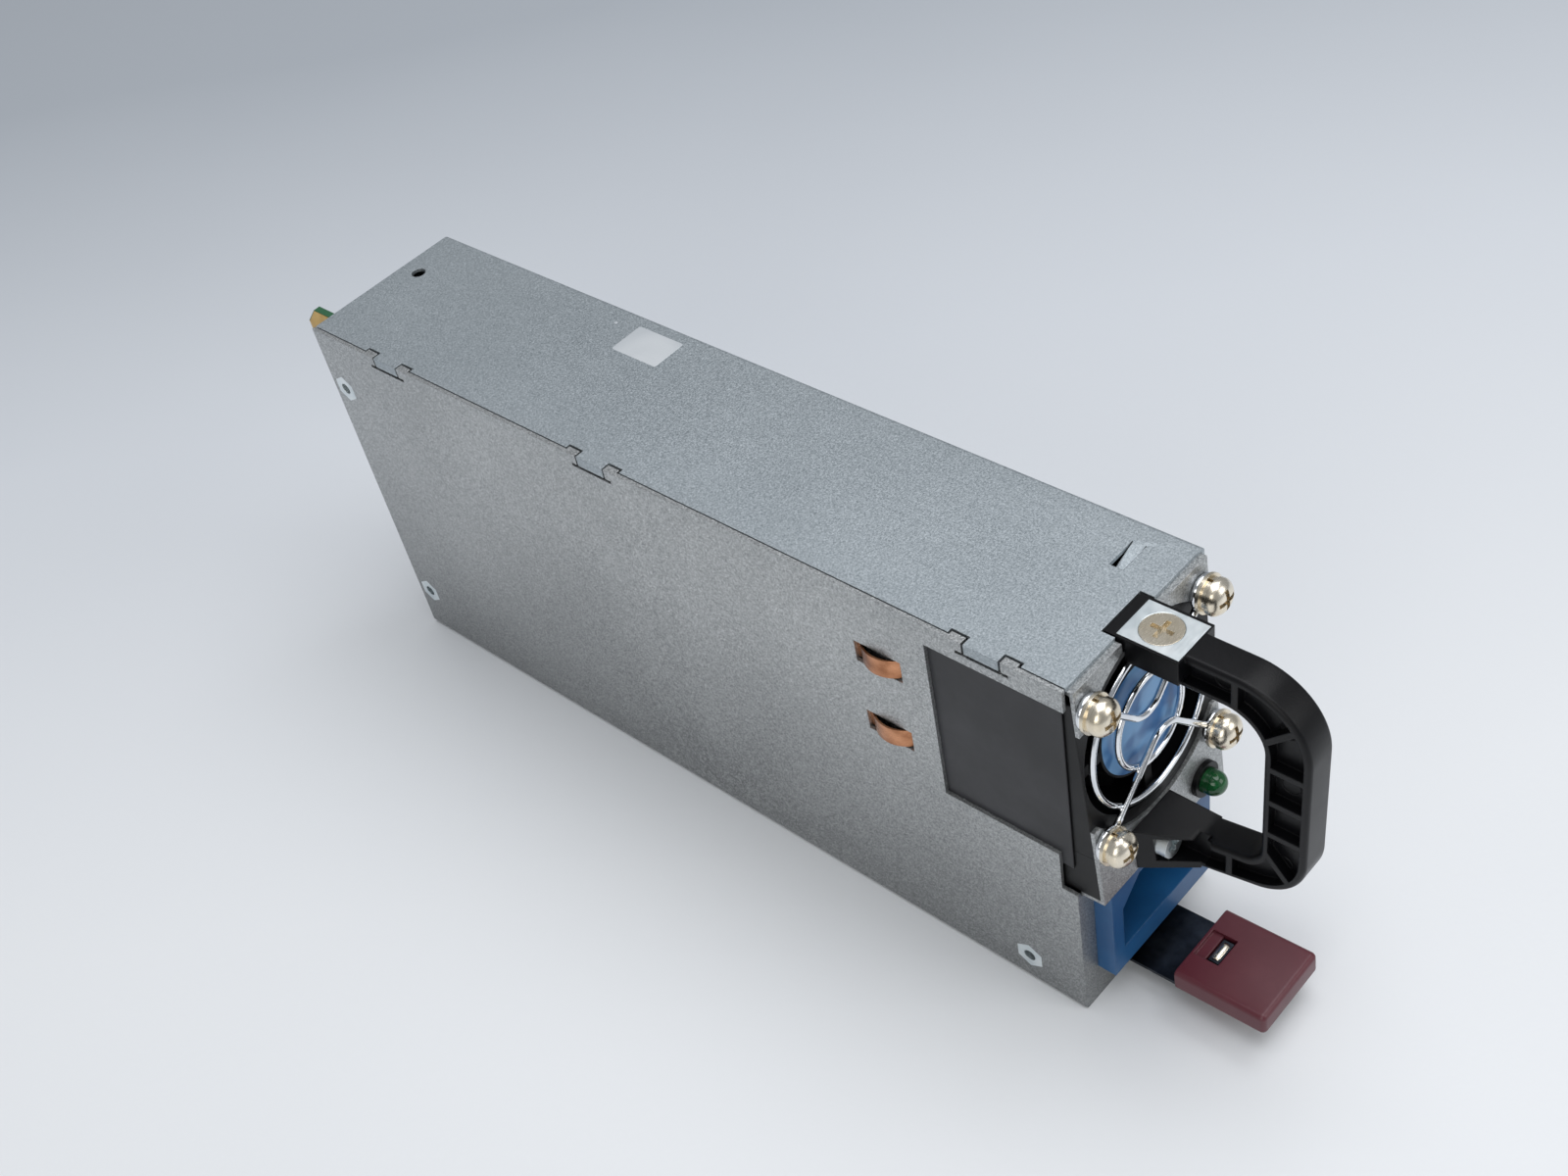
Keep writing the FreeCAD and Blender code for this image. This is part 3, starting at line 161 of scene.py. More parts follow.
def zinc_sheet(name, crystal_mm, light, dark, rough, foot_shade):
    """Galvanised sheet, from its crystals' size, tones, roughness and the painted shade towards its bottom."""
    material, tree, shader, place = start(name)
    crystal = crystal_mm * MM
    warp = add(tree, "TexNoise", {"Vector": place, "Scale": 0.6 / crystal, "Detail": 3.0})
    offset = add(tree, "VectorMath", {0: warp.outputs["Color"], "Scale": crystal * 0.9}, operation="SCALE")
    shifted = add(tree, "VectorMath", {0: place, 1: warp.outputs["Color"], 2: offset.outputs[0]},
                  operation="MULTIPLY_ADD")
    crystals = add(tree, "TexVoronoi", {"Vector": shifted.outputs[0], "Scale": 1 / crystal})
    grain = add(tree, "TexNoise", {"Vector": place, "Scale": 2600.0, "Detail": 4.0, "Roughness": 0.7})
    blotch = add(tree, "TexNoise", {"Vector": place, "Scale": 26.0, "Detail": 2.0})
    stretched = add(tree, "Mapping", {"Vector": place, "Scale": (900.0, 22.0, 900.0)})
    streaks = add(tree, "TexNoise", {"Vector": stretched.outputs[0], "Scale": 1.0, "Detail": 2.0})
    parts = add(tree, "SeparateColor", {"Color": crystals.outputs["Color"]})
    tone = add(tree, "Math", {0: parts.outputs["Red"], 1: grain.outputs["Fac"], 2: grain.outputs["Fac"]},
               operation="MULTIPLY_ADD")
    broad = add(tree, "Math", {0: blotch.outputs["Fac"], 1: 0.22, 2: tone.outputs[0]},
                operation="MULTIPLY_ADD")
    settled = add(tree, "Math", {0: broad.outputs[0], 1: 0.62}, operation="MULTIPLY")
    colour = ramp(tree, settled.outputs[0], [(0.34, dark), (0.82, light)])
    # Painted shade: the colour is scaled from full at the top of the ramp down to the given factor at z = 0.
    height = add(tree, "SeparateXYZ", {"Vector": place}).outputs["Z"]
    painted_shade = add(tree, "MapRange", {"Value": height, "From Max": PAINTED_SHADE_UP_TO, "To Min": foot_shade, "To Max": 1.0})
    shaded_colour = add(tree, "VectorMath", {0: colour, "Scale": painted_shade.outputs[0]}, operation="SCALE")
    tree.links.new(shaded_colour.outputs[0], shader.inputs["Base Color"])
    gloss = add(tree, "MapRange", {"Value": tone.outputs[0], "From Min": 0.3, "From Max": 1.3,
                                   "To Min": rough - 0.12, "To Max": rough + 0.14})
    tree.links.new(gloss.outputs[0], shader.inputs["Roughness"])
    both = add(tree, "Math", {0: streaks.outputs["Fac"], 1: grain.outputs["Fac"]}, operation="ADD")
    relief(tree, shader, both.outputs[0], 0.03, 0.2)
    set_values(shader, Metallic=0.85)
    return material


# The tray's sheet carries painted shade down to 0.60 of its colour at the floor; the cover's carries none.
GALVANISED = zinc_sheet("galvanised steel sheet, small spangle", 0.9, "#e4e6e6", "#7c7f80", 0.40, 0.60)
# Painted light: the cover's sheet takes bluer tones than the tray's, for the cool light its top face catches from
# above; its finer crystals and higher roughness are its own.
COOL_LIT_TOP_SHEET = zinc_sheet("galvanised steel sheet, skin passed, painted cool top light", 0.7, "#d3dade", "#8a9398", 0.50, 1.0)
for name in ("tray", "rear_panel", "lower_bracket", "upper_bracket", "spring_backing"):
    nodes[name].data.materials.clear()
    nodes[name].data.materials.append(GALVANISED)
nodes["cover"].data.materials.clear()
nodes["cover"].data.materials.append(COOL_LIT_TOP_SHEET)
print("zinc on", len(GALVANISED.node_tree.nodes), "shader nodes")

# %% [markdown]
# ## Plated and bare metals
# Turned screws are nickel plated and slightly warm, the guard's wire is chromium over nickel, the tab
# and standoffs are zinc with a clear passivate, and the latch is blued spring steel. They share one
# recipe: a metal with fine scratches whose direction follows how the part was made.

# %% One recipe for small metal parts
def small_metal(name, light, dark, rough, scratch_scale, depth):
    """A plated metal, from its tones, its roughness, and the stretch and depth of its scratches."""
    material, tree, shader, place = start(name)
    stretched = add(tree, "Mapping", {"Vector": place, "Scale": scratch_scale})
    scratch = add(tree, "TexNoise", {"Vector": stretched.outputs[0], "Scale": 1.0, "Detail": 5.0})
    cloud = add(tree, "TexNoise", {"Vector": place, "Scale": 220.0, "Detail": 3.0})
    tone = ramp(tree, cloud.outputs["Fac"], [(0.35, dark), (0.65, light)])
    tree.links.new(tone, shader.inputs["Base Color"])
    gloss = add(tree, "MapRange", {"Value": scratch.outputs["Fac"],
                                   "To Min": rough * 0.7, "To Max": rough * 1.35})
    tree.links.new(gloss.outputs[0], shader.inputs["Roughness"])
    relief(tree, shader, scratch.outputs["Fac"], depth, 0.12)
    set_values(shader, Metallic=1.0)
    return material


METALS = {
    "nickel plated steel, turned": ("#f0e7d6", "#e0d4bd", 0.25, (900.0, 4000.0, 900.0), 0.0006),
    "chromium plated wire": ("#eef0f2", "#dfe2e6", 0.10, (600.0, 600.0, 600.0), 0.002),
    "zinc plated steel, clear passivate": ("#eef3f4", "#d5dee1", 0.40, (700.0, 2600.0, 700.0), 0.0015),
    "spring steel, blued": ("#4a4f57", "#2c3037", 0.34, (3000.0, 260.0, 3000.0), 0.006),
    "phosphor bronze strip": ("#cf9570", "#935f40", 0.26, (2600.0, 300.0, 2600.0), 0.004),
    "tin plated brass blade": ("#d8d6cc", "#bdbab0", 0.25, (1500.0, 200.0, 1500.0), 0.004),
    "hard gold on copper": ("#d9b366", "#c39a4d", 0.28, (2000.0, 300.0, 2000.0), 0.003),
    "extruded aluminium, mill finish": ("#c9cbcc", "#adb0b2", 0.35, (3000.0, 150.0, 3000.0), 0.006),
    "enamelled copper wire": ("#b5643a", "#8f4a26", 0.33, (400.0, 400.0, 3600.0), 0.05),
    "free cutting brass": ("#d8bb76", "#bb9c58", 0.25, (1500.0, 1500.0, 1500.0), 0.003),
}
metal = {name: small_metal(name, *recipe) for name, recipe in METALS.items()}
print("mixed", len(metal), "metals")

# %% [markdown]
# ## Moulded plastics
# Glass filled nylon takes the spark eroded texture of its mould: a fine, even pebble that scatters
# light without looking dusty. The same recipe serves the fan's polyester, the red thumb cap and the
# blue inlet with other colours and grain. Slightly worn high spots are a little smoother than the rest.

# %% One recipe for mouldings
def moulded(name, colour, worn, rough, grain_mm, depth, specular=0.5):
    """A moulded plastic, from its colour, its tone where it is handled, its grain and its reflectance."""
    material, tree, shader, place = start(name)
    pebble = add(tree, "TexNoise", {"Vector": place, "Scale": 1 / (grain_mm * MM), "Detail": 3.0})
    wear = add(tree, "TexNoise", {"Vector": place, "Scale": 60.0, "Detail": 6.0, "Roughness": 0.65})
    tone = ramp(tree, wear.outputs["Fac"], [(0.42, colour), (0.74, worn)])
    tree.links.new(tone, shader.inputs["Base Color"])
    gloss = add(tree, "MapRange", {"Value": wear.outputs["Fac"], "From Min": 0.3, "From Max": 0.7,
                                   "To Min": rough + 0.05, "To Max": rough - 0.06})
    tree.links.new(gloss.outputs[0], shader.inputs["Roughness"])
    relief(tree, shader, pebble.outputs["Fac"], depth, 0.35)
    set_values(shader, IOR=1.53, Specular_IOR_Level=specular)
    return material


PLASTICS = {
    "glass filled nylon, black": ("#09090b", "#101013", 0.32, 0.22, 0.03, 0.20),
    "polyester moulding, black": ("#09090a", "#101012", 0.38, 0.30, 0.02, 0.22),
    "polycarbonate film, black matt": ("#222225", "#2c2c30", 0.40, 0.12, 0.006, 0.35),
    "moulded nylon, maroon": ("#541c27", "#5f2630", 0.36, 0.25, 0.012),
    "moulded nylon, blue": ("#144c7c", "#1b5a8c", 0.38, 0.28, 0.012),
    "shrink sleeve, black": ("#141416", "#202024", 0.25, 0.60, 0.004),
    "pressed ferrite": ("#2b2b2d", "#3a3a3c", 0.62, 0.20, 0.03),
    "polyester tape, yellow": ("#c7a029", "#d2ae3d", 0.40, 0.40, 0.010),
    "epoxy dipped film box": ("#c79a2a", "#d0a63c", 0.35, 0.30, 0.006),
    "polyester sheet, milky": ("#c9c8bf", "#d4d3ca", 0.40, 0.40, 0.004),
    "steatite, glazed": ("#d6d0c2", "#e0dbcf", 0.25, 0.50, 0.004),
    "glass epoxy laminate, green": ("#1f5130", "#2a6440", 0.30, 0.18, 0.008),
}
plastic = {name: moulded(name, *recipe) for name, recipe in PLASTICS.items()}
print("mixed", len(plastic), "plastics")

# %% [markdown]
# ## A lens that lights the eye
# The status light is a dyed epoxy dome. Unlit, it looks nearly black at its rim and deep green in the
# middle, because light goes through more of the dye there. Transmission with a strong green body
# colour gives both at once.

# %% Dyed epoxy
def dyed_lens(name, colour):
    """Transparent dyed resin with faint flow lines."""
    material, tree, shader, place = start(name)
    flow = add(tree, "TexNoise", {"Vector": place, "Scale": 500.0, "Detail": 2.0})
    tone = ramp(tree, flow.outputs["Fac"], [(0.3, colour), (0.8, "#2f7a48")])
    tree.links.new(tone, shader.inputs["Base Color"])
    bump = add(tree, "Bump", {"Height": flow.outputs["Fac"], "Distance": 0.001 * MM})
    tree.links.new(bump.outputs["Normal"], shader.inputs["Normal"])
    set_values(shader, Roughness=0.08, IOR=1.54, Transmission_Weight=0.35)
    return material


GREEN = dyed_lens("dyed epoxy, green", "#17512a")
print("mixed", GREEN.name)

# %% [markdown]
# ## Handing out the finishes
# The frame's record names a slot for every solid. One table from slot to finish dresses them all,
# apart from the sheets above, which already have theirs.

# %% Slot to finish
FINISH = {
    "spring_steel_dark": metal["spring steel, blued"],
    "nickel_plate": metal["nickel plated steel, turned"],
    "chrome_wire": metal["chromium plated wire"],
    "zinc_plate": metal["zinc plated steel, clear passivate"],
    "black_nylon": plastic["glass filled nylon, black"],
    "black_fan_plastic": plastic["polyester moulding, black"],
    "black_film": plastic["polycarbonate film, black matt"],
    "maroon_plastic": plastic["moulded nylon, maroon"],
    "blue_plastic": plastic["moulded nylon, blue"],
    "green_lens": GREEN,
    "copper_strip": metal["phosphor bronze strip"],
    "tin_blades": metal["tin plated brass blade"],
    "board_laminate": plastic["glass epoxy laminate, green"],
    "gold_plate": metal["hard gold on copper"],
    "aluminium_extrusion": metal["extruded aluminium, mill finish"],
    "black_sleeve": plastic["shrink sleeve, black"],
    "ferrite": plastic["pressed ferrite"],
    "winding_tape": plastic["polyester tape, yellow"],
    "copper_wire": metal["enamelled copper wire"],
    "yellow_film_box": plastic["epoxy dipped film box"],
    "clear_polyester": plastic["polyester sheet, milky"],
    "white_ceramic": plastic["steatite, glazed"],
    "brass_insert": metal["free cutting brass"],
}
for part in frame["record"]["subparts"]:
    if part["material_slot"] in FINISH:
        cad_node = nodes[part["node"]]
        cad_node.data.materials.clear()
        cad_node.data.materials.append(FINISH[part["material_slot"]])

# %% [markdown]
# ## Surfaces from two parameters
# Everything added below is a grid of points: rows run along the piece and columns run round it. One
# function turns such a grid into a mesh, closing it along either direction or capping its ends, and
# writes the arrays in one go instead of adding points one at a time.

# %% Grid to mesh
def grid_mesh(name, points, wrap_rows=False, wrap_columns=True, caps=False):
    """A mesh from points[row, column]. Quad (i, j) joins rows i, i + 1 and columns j, j + 1."""
    rows, columns = points.shape[:2]
    i = np.arange(rows if wrap_rows else rows - 1)[:, None]
    j = np.arange(columns if wrap_columns else columns - 1)[None, :]
    near, far = i * columns, (i + 1) % rows * columns
    here, beside = j, (j + 1) % columns
    quads = np.stack([near + here, near + beside, far + beside, far + here], -1).reshape(-1, 4)
    faces = quads.tolist()
    if caps:
        faces.append(list(range(columns))[::-1])
        faces.append([(rows - 1) * columns + k for k in range(columns)])
    mesh = bpy.data.meshes.new(name)
    mesh.from_pydata(points.reshape(-1, 3).tolist(), [], faces)
    mesh.validate()
    mesh.shade_smooth()
    obj = bpy.data.objects.new(name, mesh)
    bpy.context.scene.collection.objects.link(obj)
    return obj


def tube_points(path, radius, sides=14, closed=False):
    """Rings round a path: p + r (cos a n + sin a b), with n and b carried along without twisting."""
    ahead = np.roll(path, -1, 0) - np.roll(path, 1, 0)
    if not closed:
        ahead[0], ahead[-1] = path[1] - path[0], path[-1] - path[-2]
    ahead /= np.linalg.norm(ahead, axis=1, keepdims=True)
    side = np.cross(ahead[0], [0.3, 0.2, 1.0])
    frames = []
    for direction in ahead:
        side = side - direction * (side @ direction)
        side = side / np.linalg.norm(side)
        frames.append(np.stack([side, np.cross(direction, side)]))
    frames = np.array(frames)
    angle = np.linspace(0, 2 * np.pi, sides, endpoint=False)
    ring = np.stack([np.cos(angle), np.sin(angle)], 1)
    return path[:, None, :] + radius * np.einsum("ak,nkd->nad", ring, frames)


def join(name, pieces):
    """Merges objects into the first one, under a new name."""
    base = pieces[0]
    meshes = [piece.data for piece in pieces]
    verts, faces, start_at = [], [], 0
    for mesh in meshes:
        co = np.empty(len(mesh.vertices) * 3)
        mesh.vertices.foreach_get("co", co)
        verts.append(co.reshape(-1, 3))
        faces += [[v + start_at for v in poly.vertices] for poly in mesh.polygons]
        start_at += len(mesh.vertices)
    merged = bpy.data.meshes.new(name)
    merged.from_pydata(np.concatenate(verts).tolist(), [], faces)
    merged.shade_smooth()
    for piece in pieces[1:]:
        bpy.data.objects.remove(piece)
    base.name, base.data = name, merged
    return base


print("surface helpers ready")

# %% [markdown]
# ## The fan's own axes
# The fan leans a few degrees, so whatever belongs to it is easier to draw face on and then lay into
# its plane. The frame's joint gives the fan's axis and a point on its front face.

# %% Fan axes
spin = next(joint for joint in frame["joints"] if joint["name"] == "fan_spin")
FAN_AT = np.array(spin["pos_m"])
FAN_BACK = np.array(spin["axis"])
FAN_UP = np.array([0.0, -FAN_BACK[2], FAN_BACK[1]])


def on_fan(across, up, back):
    """Points given across, up and back from the fan's face, in millimetres, in the frame's metres."""
    across, up, back = np.broadcast_arrays(across, up, back)
    flat = across[..., None] * [1.0, 0, 0] + up[..., None] * FAN_UP
    return FAN_AT + MM * (flat + back[..., None] * FAN_BACK)


print("fan leans", round(math.degrees(math.asin(-FAN_BACK[2])), 2), "degrees")

# %% [markdown]
# ## The finger guard
# A guard like this is bent from one gauge of wire and spot welded where wires cross. Two rings lie
# behind two V shaped wires, and each wire ends in an eye that a fan screw clamps. A round bend is an
# arc tangent to both legs, so its centre sits on their bisector at radius / sin of the half angle.

# %% Bent wires and rings
WIRE = 0.65
PITCH = 16.0
EYE = 2.75
STANDS_OFF = 0.8
GUARD_PLANE = -STANDS_OFF - WIRE
RINGS = (16.2, 9.2)
WELD_BITE = 0.15
KNEE = np.array([-2.2, 1.6])
KNEE_BEND = 5.0


def bent(first, knee, last, bend, steps=14):
    """Points along first to last, rounded at the knee."""
    back, ahead = first - knee, last - knee
    reach_back, reach_ahead = np.linalg.norm(back), np.linalg.norm(ahead)
    back, ahead = back / reach_back, ahead / reach_ahead
    half = math.acos(float(back @ ahead)) / 2
    tangent = bend / math.tan(half)
    centre = knee + (back + ahead) / np.linalg.norm(back + ahead) * bend / math.sin(half)
    one, two = knee + back * tangent - centre, knee + ahead * tangent - centre
    whole = math.acos(float(one @ two) / bend ** 2)
    turn = np.linspace(0, 1, steps)[:, None]
    arc = centre + (np.sin((1 - turn) * whole) * one + np.sin(turn * whole) * two) / math.sin(whole)
    legs = np.linspace(0, 1, 8)[:, None]
    into, out_of = first + (arc[0] - first) * legs[:-1], arc[-1] + (last - arc[-1]) * legs[1:]
    return np.concatenate([into, arc, out_of])


def ring_path(radius, centre=(0, 0), count=72):
    """A circle on the fan's face."""
    angle = np.linspace(0, 2 * np.pi, count, endpoint=False)
    return np.stack([centre[0] + radius * np.cos(angle), centre[1] + radius * np.sin(angle)], 1)


def on_guard(flat, depth):
    """Lays points of the plane onto the fan's face at a depth."""
    return on_fan(flat[:, 0], flat[:, 1], np.full(len(flat), depth))


wires = []
for radius in RINGS:
    path = on_guard(ring_path(radius), GUARD_PLANE + 2 * WIRE - WELD_BITE)
    wires.append(grid_mesh("ring", tube_points(path, WIRE * MM, closed=True), wrap_rows=True))
for way in (1, -1):
    knee = KNEE * way
    ends = [np.array([side * PITCH, way * PITCH]) for side in (-1, 1)]
    starts = [end + (knee - end) / np.linalg.norm(knee - end) * EYE for end in ends]
    flat = bent(starts[0], knee, starts[1], KNEE_BEND)
    wires.append(grid_mesh("wire", tube_points(on_guard(flat, GUARD_PLANE), WIRE * MM), caps=True))
    for end in ends:
        path = on_guard(ring_path(EYE, end, 40), GUARD_PLANE)
        wires.append(grid_mesh("eye", tube_points(path, WIRE * MM, closed=True), wrap_rows=True))
guard = join("finger_guard_wires", wires)
guard.data.materials.append(metal["chromium plated wire"])
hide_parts("finger_guard")
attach(guard, "case")
print("guard has", len(guard.data.vertices), "points")

# %% [markdown]
# ## Labels without words
# The round label on the fan's motor base is printed blue with darker bands; here it is left without
# writing. The label on top of the case is a blank silver polyester one. Both are thin plates, a disc
# and a rounded rectangle, whose outline is drawn in a little near the top so that the rim catches light.

# %% Printed film
def label_film(name, light, dark, scale, rough, metallic):
    """Printed polyester film with soft bands and a faint emboss."""
    material, tree, shader, place = start(name)
    bands = add(tree, "TexNoise", {"Vector": place, "Scale": scale, "Detail": 1.0, "Distortion": 0.4})
    fibre = add(tree, "TexNoise", {"Vector": place, "Scale": 3500.0, "Detail": 3.0})
    tone = ramp(tree, bands.outputs["Fac"], [(0.44, dark), (0.56, light)])
    tree.links.new(tone, shader.inputs["Base Color"])
    bump = add(tree, "Bump", {"Height": fibre.outputs["Fac"], "Distance": 0.006 * MM})
    tree.links.new(bump.outputs["Normal"], shader.inputs["Normal"])
    set_values(shader, Roughness=rough, Metallic=metallic)
    return material


def plate(name, outline, centre, across, along, normal, thick):
    """A thin plate: its outline at full size, again near the top, and drawn in to its middle."""
    layers = [(1.0, 0.0), (1.0, 0.7), (0.985, 1.0), (0.5, 1.0), (0.001, 1.0)]
    rows = []
    for share, level in layers:
        flat = outline * share
        rows.append(centre + flat[:, :1] * across + flat[:, 1:] * along + normal * thick * level)
    return grid_mesh(name, np.array(rows))


def rounded_rectangle(wide, long, corner, steps=8):
    """Corners as quarter circles: (w / 2 - r, l / 2 - r) + r (cos a, sin a)."""
    points = []
    for turn, (sx, sy) in enumerate(((1, 1), (-1, 1), (-1, -1), (1, -1))):
        angle = np.linspace(0, np.pi / 2, steps) + turn * np.pi / 2
        points.append(np.stack([sx * (wide / 2 - corner) + corner * np.cos(angle),
                                sy * (long / 2 - corner) + corner * np.sin(angle)], 1))
    return np.concatenate(points)


X, Y, Z = np.eye(3)
FILM = 0.03 * MM
HUB_LABEL, HUB_LABEL_THICK = 11.3, 0.08 * MM
MOTOR_FACE = 1.4
TOP_LABEL_WIDE, TOP_LABEL_LONG, TOP_LABEL_CORNER = 8.4 * MM, 12.6 * MM, 0.6 * MM
TOP_LABEL_ACROSS, TOP_LABEL_BACK = 12.4 * MM, 124.7 * MM
DOT, DOT_ACROSS, DOT_BACK = 0.4, 15.0 * MM, 136.5 * MM

blue = label_film("printed polyester label, blue", "#79a9d6", "#3f74ab", 150.0, 0.34, 0.0)
hub_label = plate("hub_label", ring_path(HUB_LABEL, count=96) * MM, on_fan(0.0, 0.0, MOTOR_FACE),
                  X, FAN_UP, -FAN_BACK, HUB_LABEL_THICK)
hub_label.data.materials.append(blue)
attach(hub_label, "case")
cover_low, cover_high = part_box("cover")
case_front, case_top = cover_low.y, cover_high.z
silver = label_film("blank polyester label, silver", "#c6cacd", "#b9bec2", 60.0, 0.42, 0.15)
top_label = plate("top_label", rounded_rectangle(TOP_LABEL_WIDE, TOP_LABEL_LONG, TOP_LABEL_CORNER),
                  np.array([TOP_LABEL_ACROSS, case_front + TOP_LABEL_BACK, case_top]), X, Y, Z, FILM)
top_label.data.materials.append(silver)
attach(top_label, "case")
dot = plate("inspection_dot", ring_path(DOT, count=24) * MM,
            np.array([DOT_ACROSS, case_front + DOT_BACK, case_top]), X, Y, Z, FILM)
dot.data.materials.append(silver)
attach(dot, "case")
print("labels", [round(v * 1000, 1) for v in top_label.dimensions])

# %% [markdown]
# ## Moulding marks on the handle
# Ejector pins leave shallow round witness rings in the pockets of a moulded handle. Each is barely
# proud of the pocket's floor, so a thin torus half sunk in it is enough.

# %% Witness rings
HANDLE_HALF = 3.3
POCKET_DEEP = 2.0
FLOOR_X = -(HANDLE_HALF - POCKET_DEEP)
PIN_MARK, PIN_MARK_PROUD, PIN_MARK_STEPS = 1.7, 0.16, 40
PIN_MARKS = ((-29.0, 79.5), (-29.2, 46.8), (-29.9, 67.0), (-17.5, 84.4))
rings = []
for mark in PIN_MARKS:
    circle = ring_path(PIN_MARK, mark, PIN_MARK_STEPS)
    path = np.stack([np.full(PIN_MARK_STEPS, FLOOR_X * MM), case_front + circle[:, 0] * MM,
                     circle[:, 1] * MM], 1)
    tube = tube_points(path, PIN_MARK_PROUD * MM, 8, closed=True)
    rings.append(grid_mesh("witness", tube, wrap_rows=True))
witness = join("handle_witness_rings", rings)
witness.data.materials.append(plastic["glass filled nylon, black"])
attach(witness, "case")
print("rings", len(PIN_MARKS), "on the floor at x", round(FLOOR_X, 2))

# %% [markdown]
# ## The nickel barb in the thumb cap
# A hooked tongue of plated strip snaps into the window of the cap and keeps it on the lever. It shows
# as a small bright hump: a strip whose height over its length is an arc, h sqrt(1 - 0.96 t^2).

# %% Barb
BARB_HALF_LONG, BARB_HALF_WIDE = 1.35 * MM, 2.1 * MM
BARB_HIGH, BARB_EDGE_DROP = 1.6 * MM, 0.15 * MM
BARB_BACK, BARB_DOWN = 4.3 * MM, 2.6 * MM
STRIP = 0.3 * MM
cap_low, cap_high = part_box("latch_cap")
run = np.linspace(-1, 1, 25)[:, None]
reach = np.linspace(-1, 1, 9)[None, :]
hump = BARB_HIGH * np.sqrt(1 - 0.96 * run ** 2) - BARB_EDGE_DROP * reach ** 4
barb_middle = np.array([(cap_low.x + cap_high.x) / 2, cap_high.y - BARB_BACK, cap_high.z - BARB_DOWN])
barb_points = np.stack(np.broadcast_arrays(barb_middle[0] + BARB_HALF_WIDE * reach,
                                           barb_middle[1] + BARB_HALF_LONG * run,
                                           barb_middle[2] + hump), -1)
barb = grid_mesh("cap_barb", barb_points, wrap_columns=False)
barb.modifiers.new("strip", "SOLIDIFY").thickness = STRIP
barb.data.materials.append(metal["nickel plated steel, turned"])
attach(barb, "latch")
print("barb at", [round(v * 1000, 1) for v in barb_middle])

# %% [markdown]
# ## Gold to the end of the card edge
# A card edge is dipped for plating with its contacts joined by a border, so the outermost corner comes
# out gold on its face and on its sheared edge. Both are films a few hundredths thick: one follows the
# corner's outline on the face, the other lies on the sheared corner.

# %% Gold border
BOARD_THICK = 1.6 * MM
CORNER_CUT = 4.0 * MM
FACE_FROM, FACE_DOWN, FACE_SUNK = 11.5 * MM, 5.8 * MM, 0.08 * MM
INSET_END, INSET_TOP = 0.05 * MM, 0.1 * MM
CUT_WIDE, CUT_LONG, CUT_CORNER, CUT_PROUD = 1.5 * MM, 5.2 * MM, 0.2 * MM, 0.05 * MM
tongue_low, tongue_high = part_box("main_board")
contacts_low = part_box("card_edge_contacts")[0]
tip_y, top_z = tongue_high.y - INSET_END, tongue_high.z - INSET_TOP
corner_outline = np.array([(tip_y - FACE_FROM, top_z - FACE_DOWN), (tip_y, top_z - FACE_DOWN),
                           (tip_y, top_z - CORNER_CUT), (tip_y - CORNER_CUT, top_z),
                           (tip_y - FACE_FROM, top_z)])
middle = corner_outline.mean(0)
face_film = plate("gold_corner_face", corner_outline - middle,
                  np.array([contacts_low.x + FACE_SUNK, *middle]), Y, Z, -X, FILM)
slant = np.array([0, 1, -1]) / math.sqrt(2)
outward = np.array([0, 1, 1]) / math.sqrt(2)
cut_middle = np.array([tongue_low.x + BOARD_THICK / 2, tongue_high.y - CORNER_CUT / 2 + CUT_PROUD,
                       tongue_high.z - CORNER_CUT / 2 + CUT_PROUD])
edge_film = plate("gold_corner_edge", rounded_rectangle(CUT_WIDE, CUT_LONG, CUT_CORNER), cut_middle,
                  X, slant, outward, FILM)
for film in (face_film, edge_film):
    film.data.materials.append(metal["hard gold on copper"])
    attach(film, "case")
print("tongue tip at", [round(v * 1000, 1) for v in tongue_high])

# %% [markdown]
# ## The floor, the camera and the light
# The unit stands on a pale, slightly blue table. A single large plane is enough, because the camera
# looks down on it. Its tone drifts from near white to grey blue with distance: a painted falloff of
# light, as under one broad window. The camera is built from a position and three directions, which is
# easier to reason about than three Euler angles.

# %% Table
def table_top():
    """A wide plane whose colour falls off away from the light, as painted light falloff."""
    size = 4.0
    corners = [(-size, -size, 0), (size, -size, 0), (size, size, 0), (-size, size, 0)]
    mesh = bpy.data.meshes.new("table")
    mesh.from_pydata(corners, [], [(0, 1, 2, 3)])
    obj = bpy.data.objects.new("table", mesh)
    bpy.context.scene.collection.objects.link(obj)
    material, tree, shader, place = start("pale laminate table")
    parts = add(tree, "SeparateXYZ", {"Vector": place})
    # Painted light: the colour darkens with x + y, away from the lamps.
    reach = add(tree, "Math", {0: parts.outputs["X"], 1: parts.outputs["Y"]}, operation="ADD")
    tone = add(tree, "MapRange", {"Value": reach.outputs[0], "From Min": -0.05, "From Max": 0.55})
    wave = add(tree, "TexNoise", {"Vector": place, "Scale": 9.0, "Detail": 3.0})
    mixed = add(tree, "Math", {0: wave.outputs["Fac"], 1: 0.06, 2: tone.outputs[0]},
                operation="MULTIPLY_ADD")
    colour = ramp(tree, mixed.outputs[0], [(0.0, "#e2e4e6"), (0.45, "#d2d6db"), (1.0, "#aeb4bb")])
    tree.links.new(colour, shader.inputs["Base Color"])
    fine = add(tree, "TexNoise", {"Vector": place, "Scale": 900.0, "Detail": 3.0})
    bump = add(tree, "Bump", {"Height": fine.outputs["Fac"], "Distance": 0.02 * MM})
    tree.links.new(bump.outputs["Normal"], shader.inputs["Normal"])
    set_values(shader, Roughness=0.38, IOR=1.45)
    obj.data.materials.append(material)
    return obj


print("table", [round(v, 1) for v in table_top().dimensions])

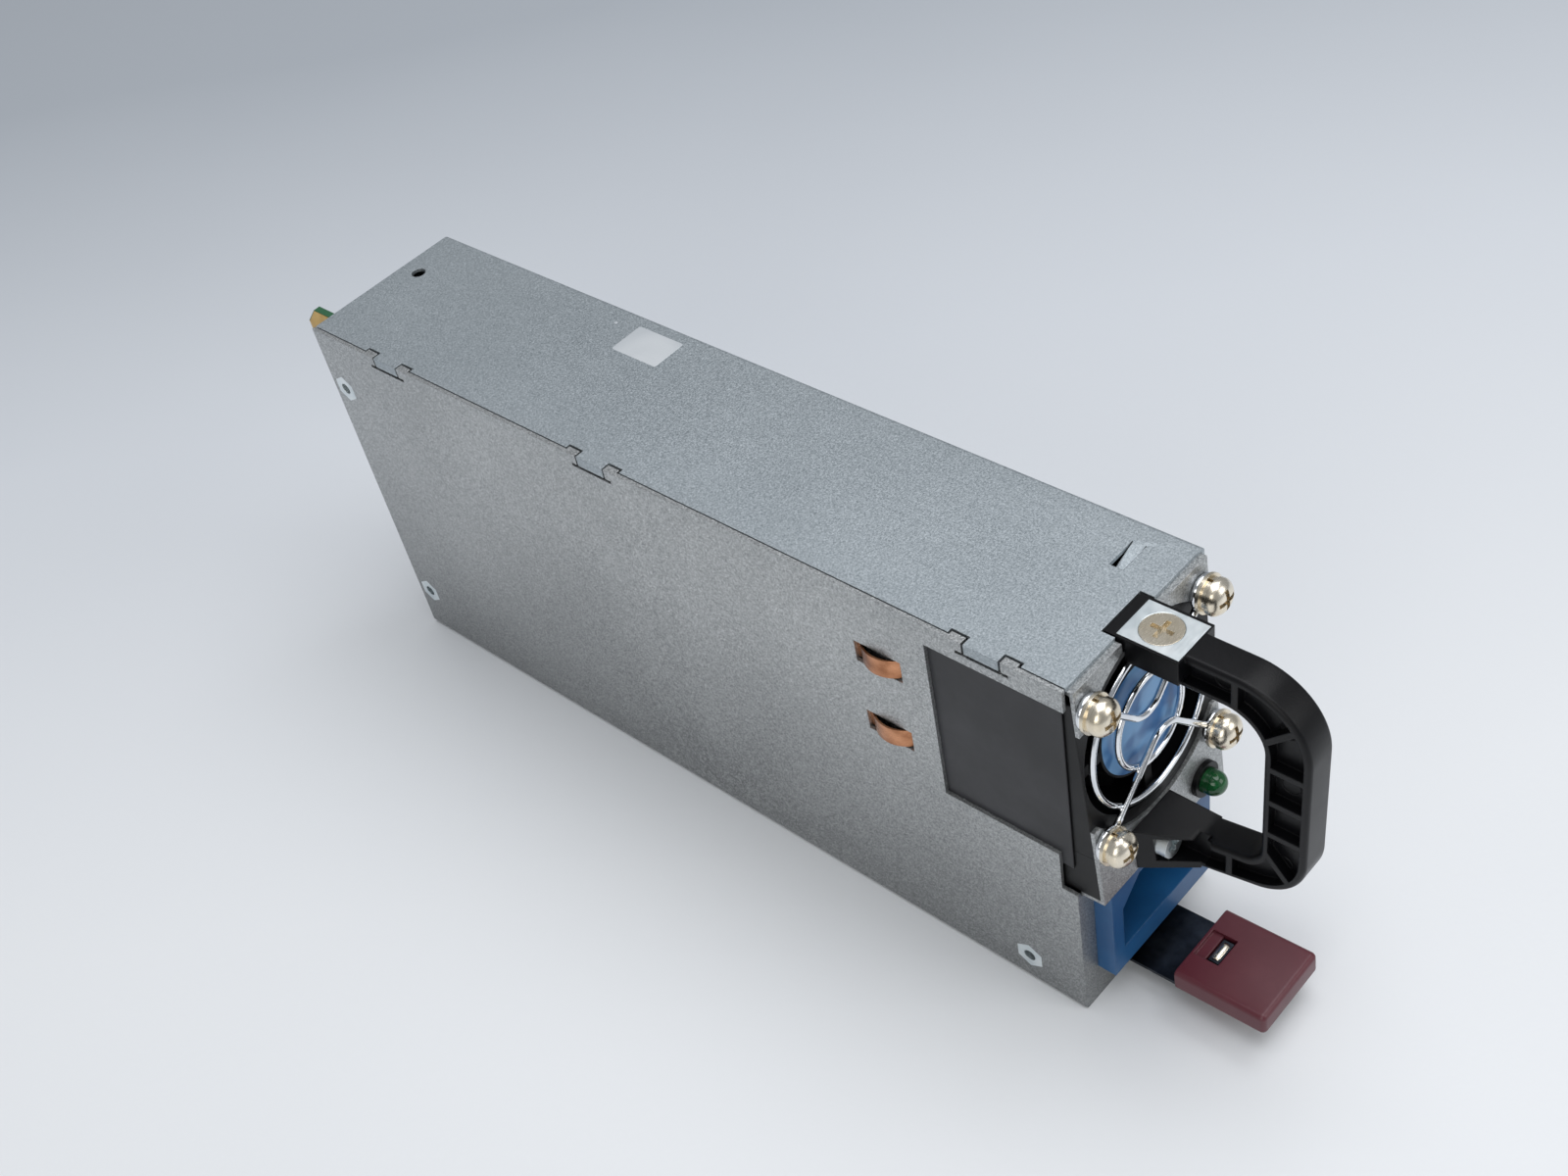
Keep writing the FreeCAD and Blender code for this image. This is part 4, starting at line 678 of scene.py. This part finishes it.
# %% Camera
SENSOR = 36
LENS_OVER_WIDTH = 1878.0 / 1600
SHIFT = (14.9 / 1600, 128.4 / 1600)
AZIMUTH, ELEVATION, ROLL = (math.radians(angle) for angle in (-127.578, 45.953, -14.113))
EYE_AT = Vector((-172.98, -223.69, 298.93)) * MM


def look():
    """The camera's right, up and backward directions from azimuth, elevation and roll."""
    back = Vector((math.cos(ELEVATION) * math.cos(AZIMUTH), math.cos(ELEVATION) * math.sin(AZIMUTH),
                   math.sin(ELEVATION)))
    right = (-back).cross(Vector((0, 0, 1))).normalized()
    up = right.cross(-back)
    turned = math.cos(ROLL) * right + math.sin(ROLL) * up
    raised = -math.sin(ROLL) * right + math.cos(ROLL) * up
    return Matrix((turned, raised, back)).transposed()


scene = bpy.context.scene
camera = bpy.data.objects.new("camera", bpy.data.cameras.new("camera"))
scene.collection.objects.link(camera)
camera.matrix_world = Matrix.Translation(EYE_AT) @ look().to_4x4()
camera.data.sensor_width = SENSOR
camera.data.lens = LENS_OVER_WIDTH * SENSOR
camera.data.shift_x, camera.data.shift_y = SHIFT
camera.data.clip_start = 0.01
scene.camera = camera
print("lens", round(camera.data.lens, 1), "mm")

# %% Light
def area_light(name, at, towards, size, watts, tint):
    """A square soft box at a point, aimed at another."""
    data = bpy.data.lights.new(name, "AREA")
    data.shape, data.size, data.energy = "SQUARE", size, watts
    data.color = linear(tint)[:3]
    obj = bpy.data.objects.new(name, data)
    scene.collection.objects.link(obj)
    obj.location = at
    obj.rotation_euler = (Vector(at) - Vector(towards)).to_track_quat("Z", "Y").to_euler()
    return obj


LIGHTS = {
    "ceiling": ((0.15, -0.15, 1.25), (0, 0, 0.05), 1.2, 12.5, "#fbfcff"),
    "window": ((-1.1, -0.5, 0.65), (0, 0, 0.04), 0.8, 4.2, "#fffdf8"),
    "front_fill": ((0.45, -1.2, 0.7), (0, -0.05, 0.05), 0.7, 3.2, "#ffffff"),
}
ROOM_TINT, ROOM_STRENGTH = "#dfe3e8", 0.42
for name, setting in LIGHTS.items():
    area_light(name, *setting)
world = bpy.data.worlds.new("room")
scene.world = world
world.use_nodes = True
sky = world.node_tree.nodes["Background"]
sky.inputs["Color"].default_value = linear(ROOM_TINT)
sky.inputs["Strength"].default_value = ROOM_STRENGTH
scene.view_settings.view_transform = "Standard"
print("lights", len(bpy.data.lights))

# %% [markdown]
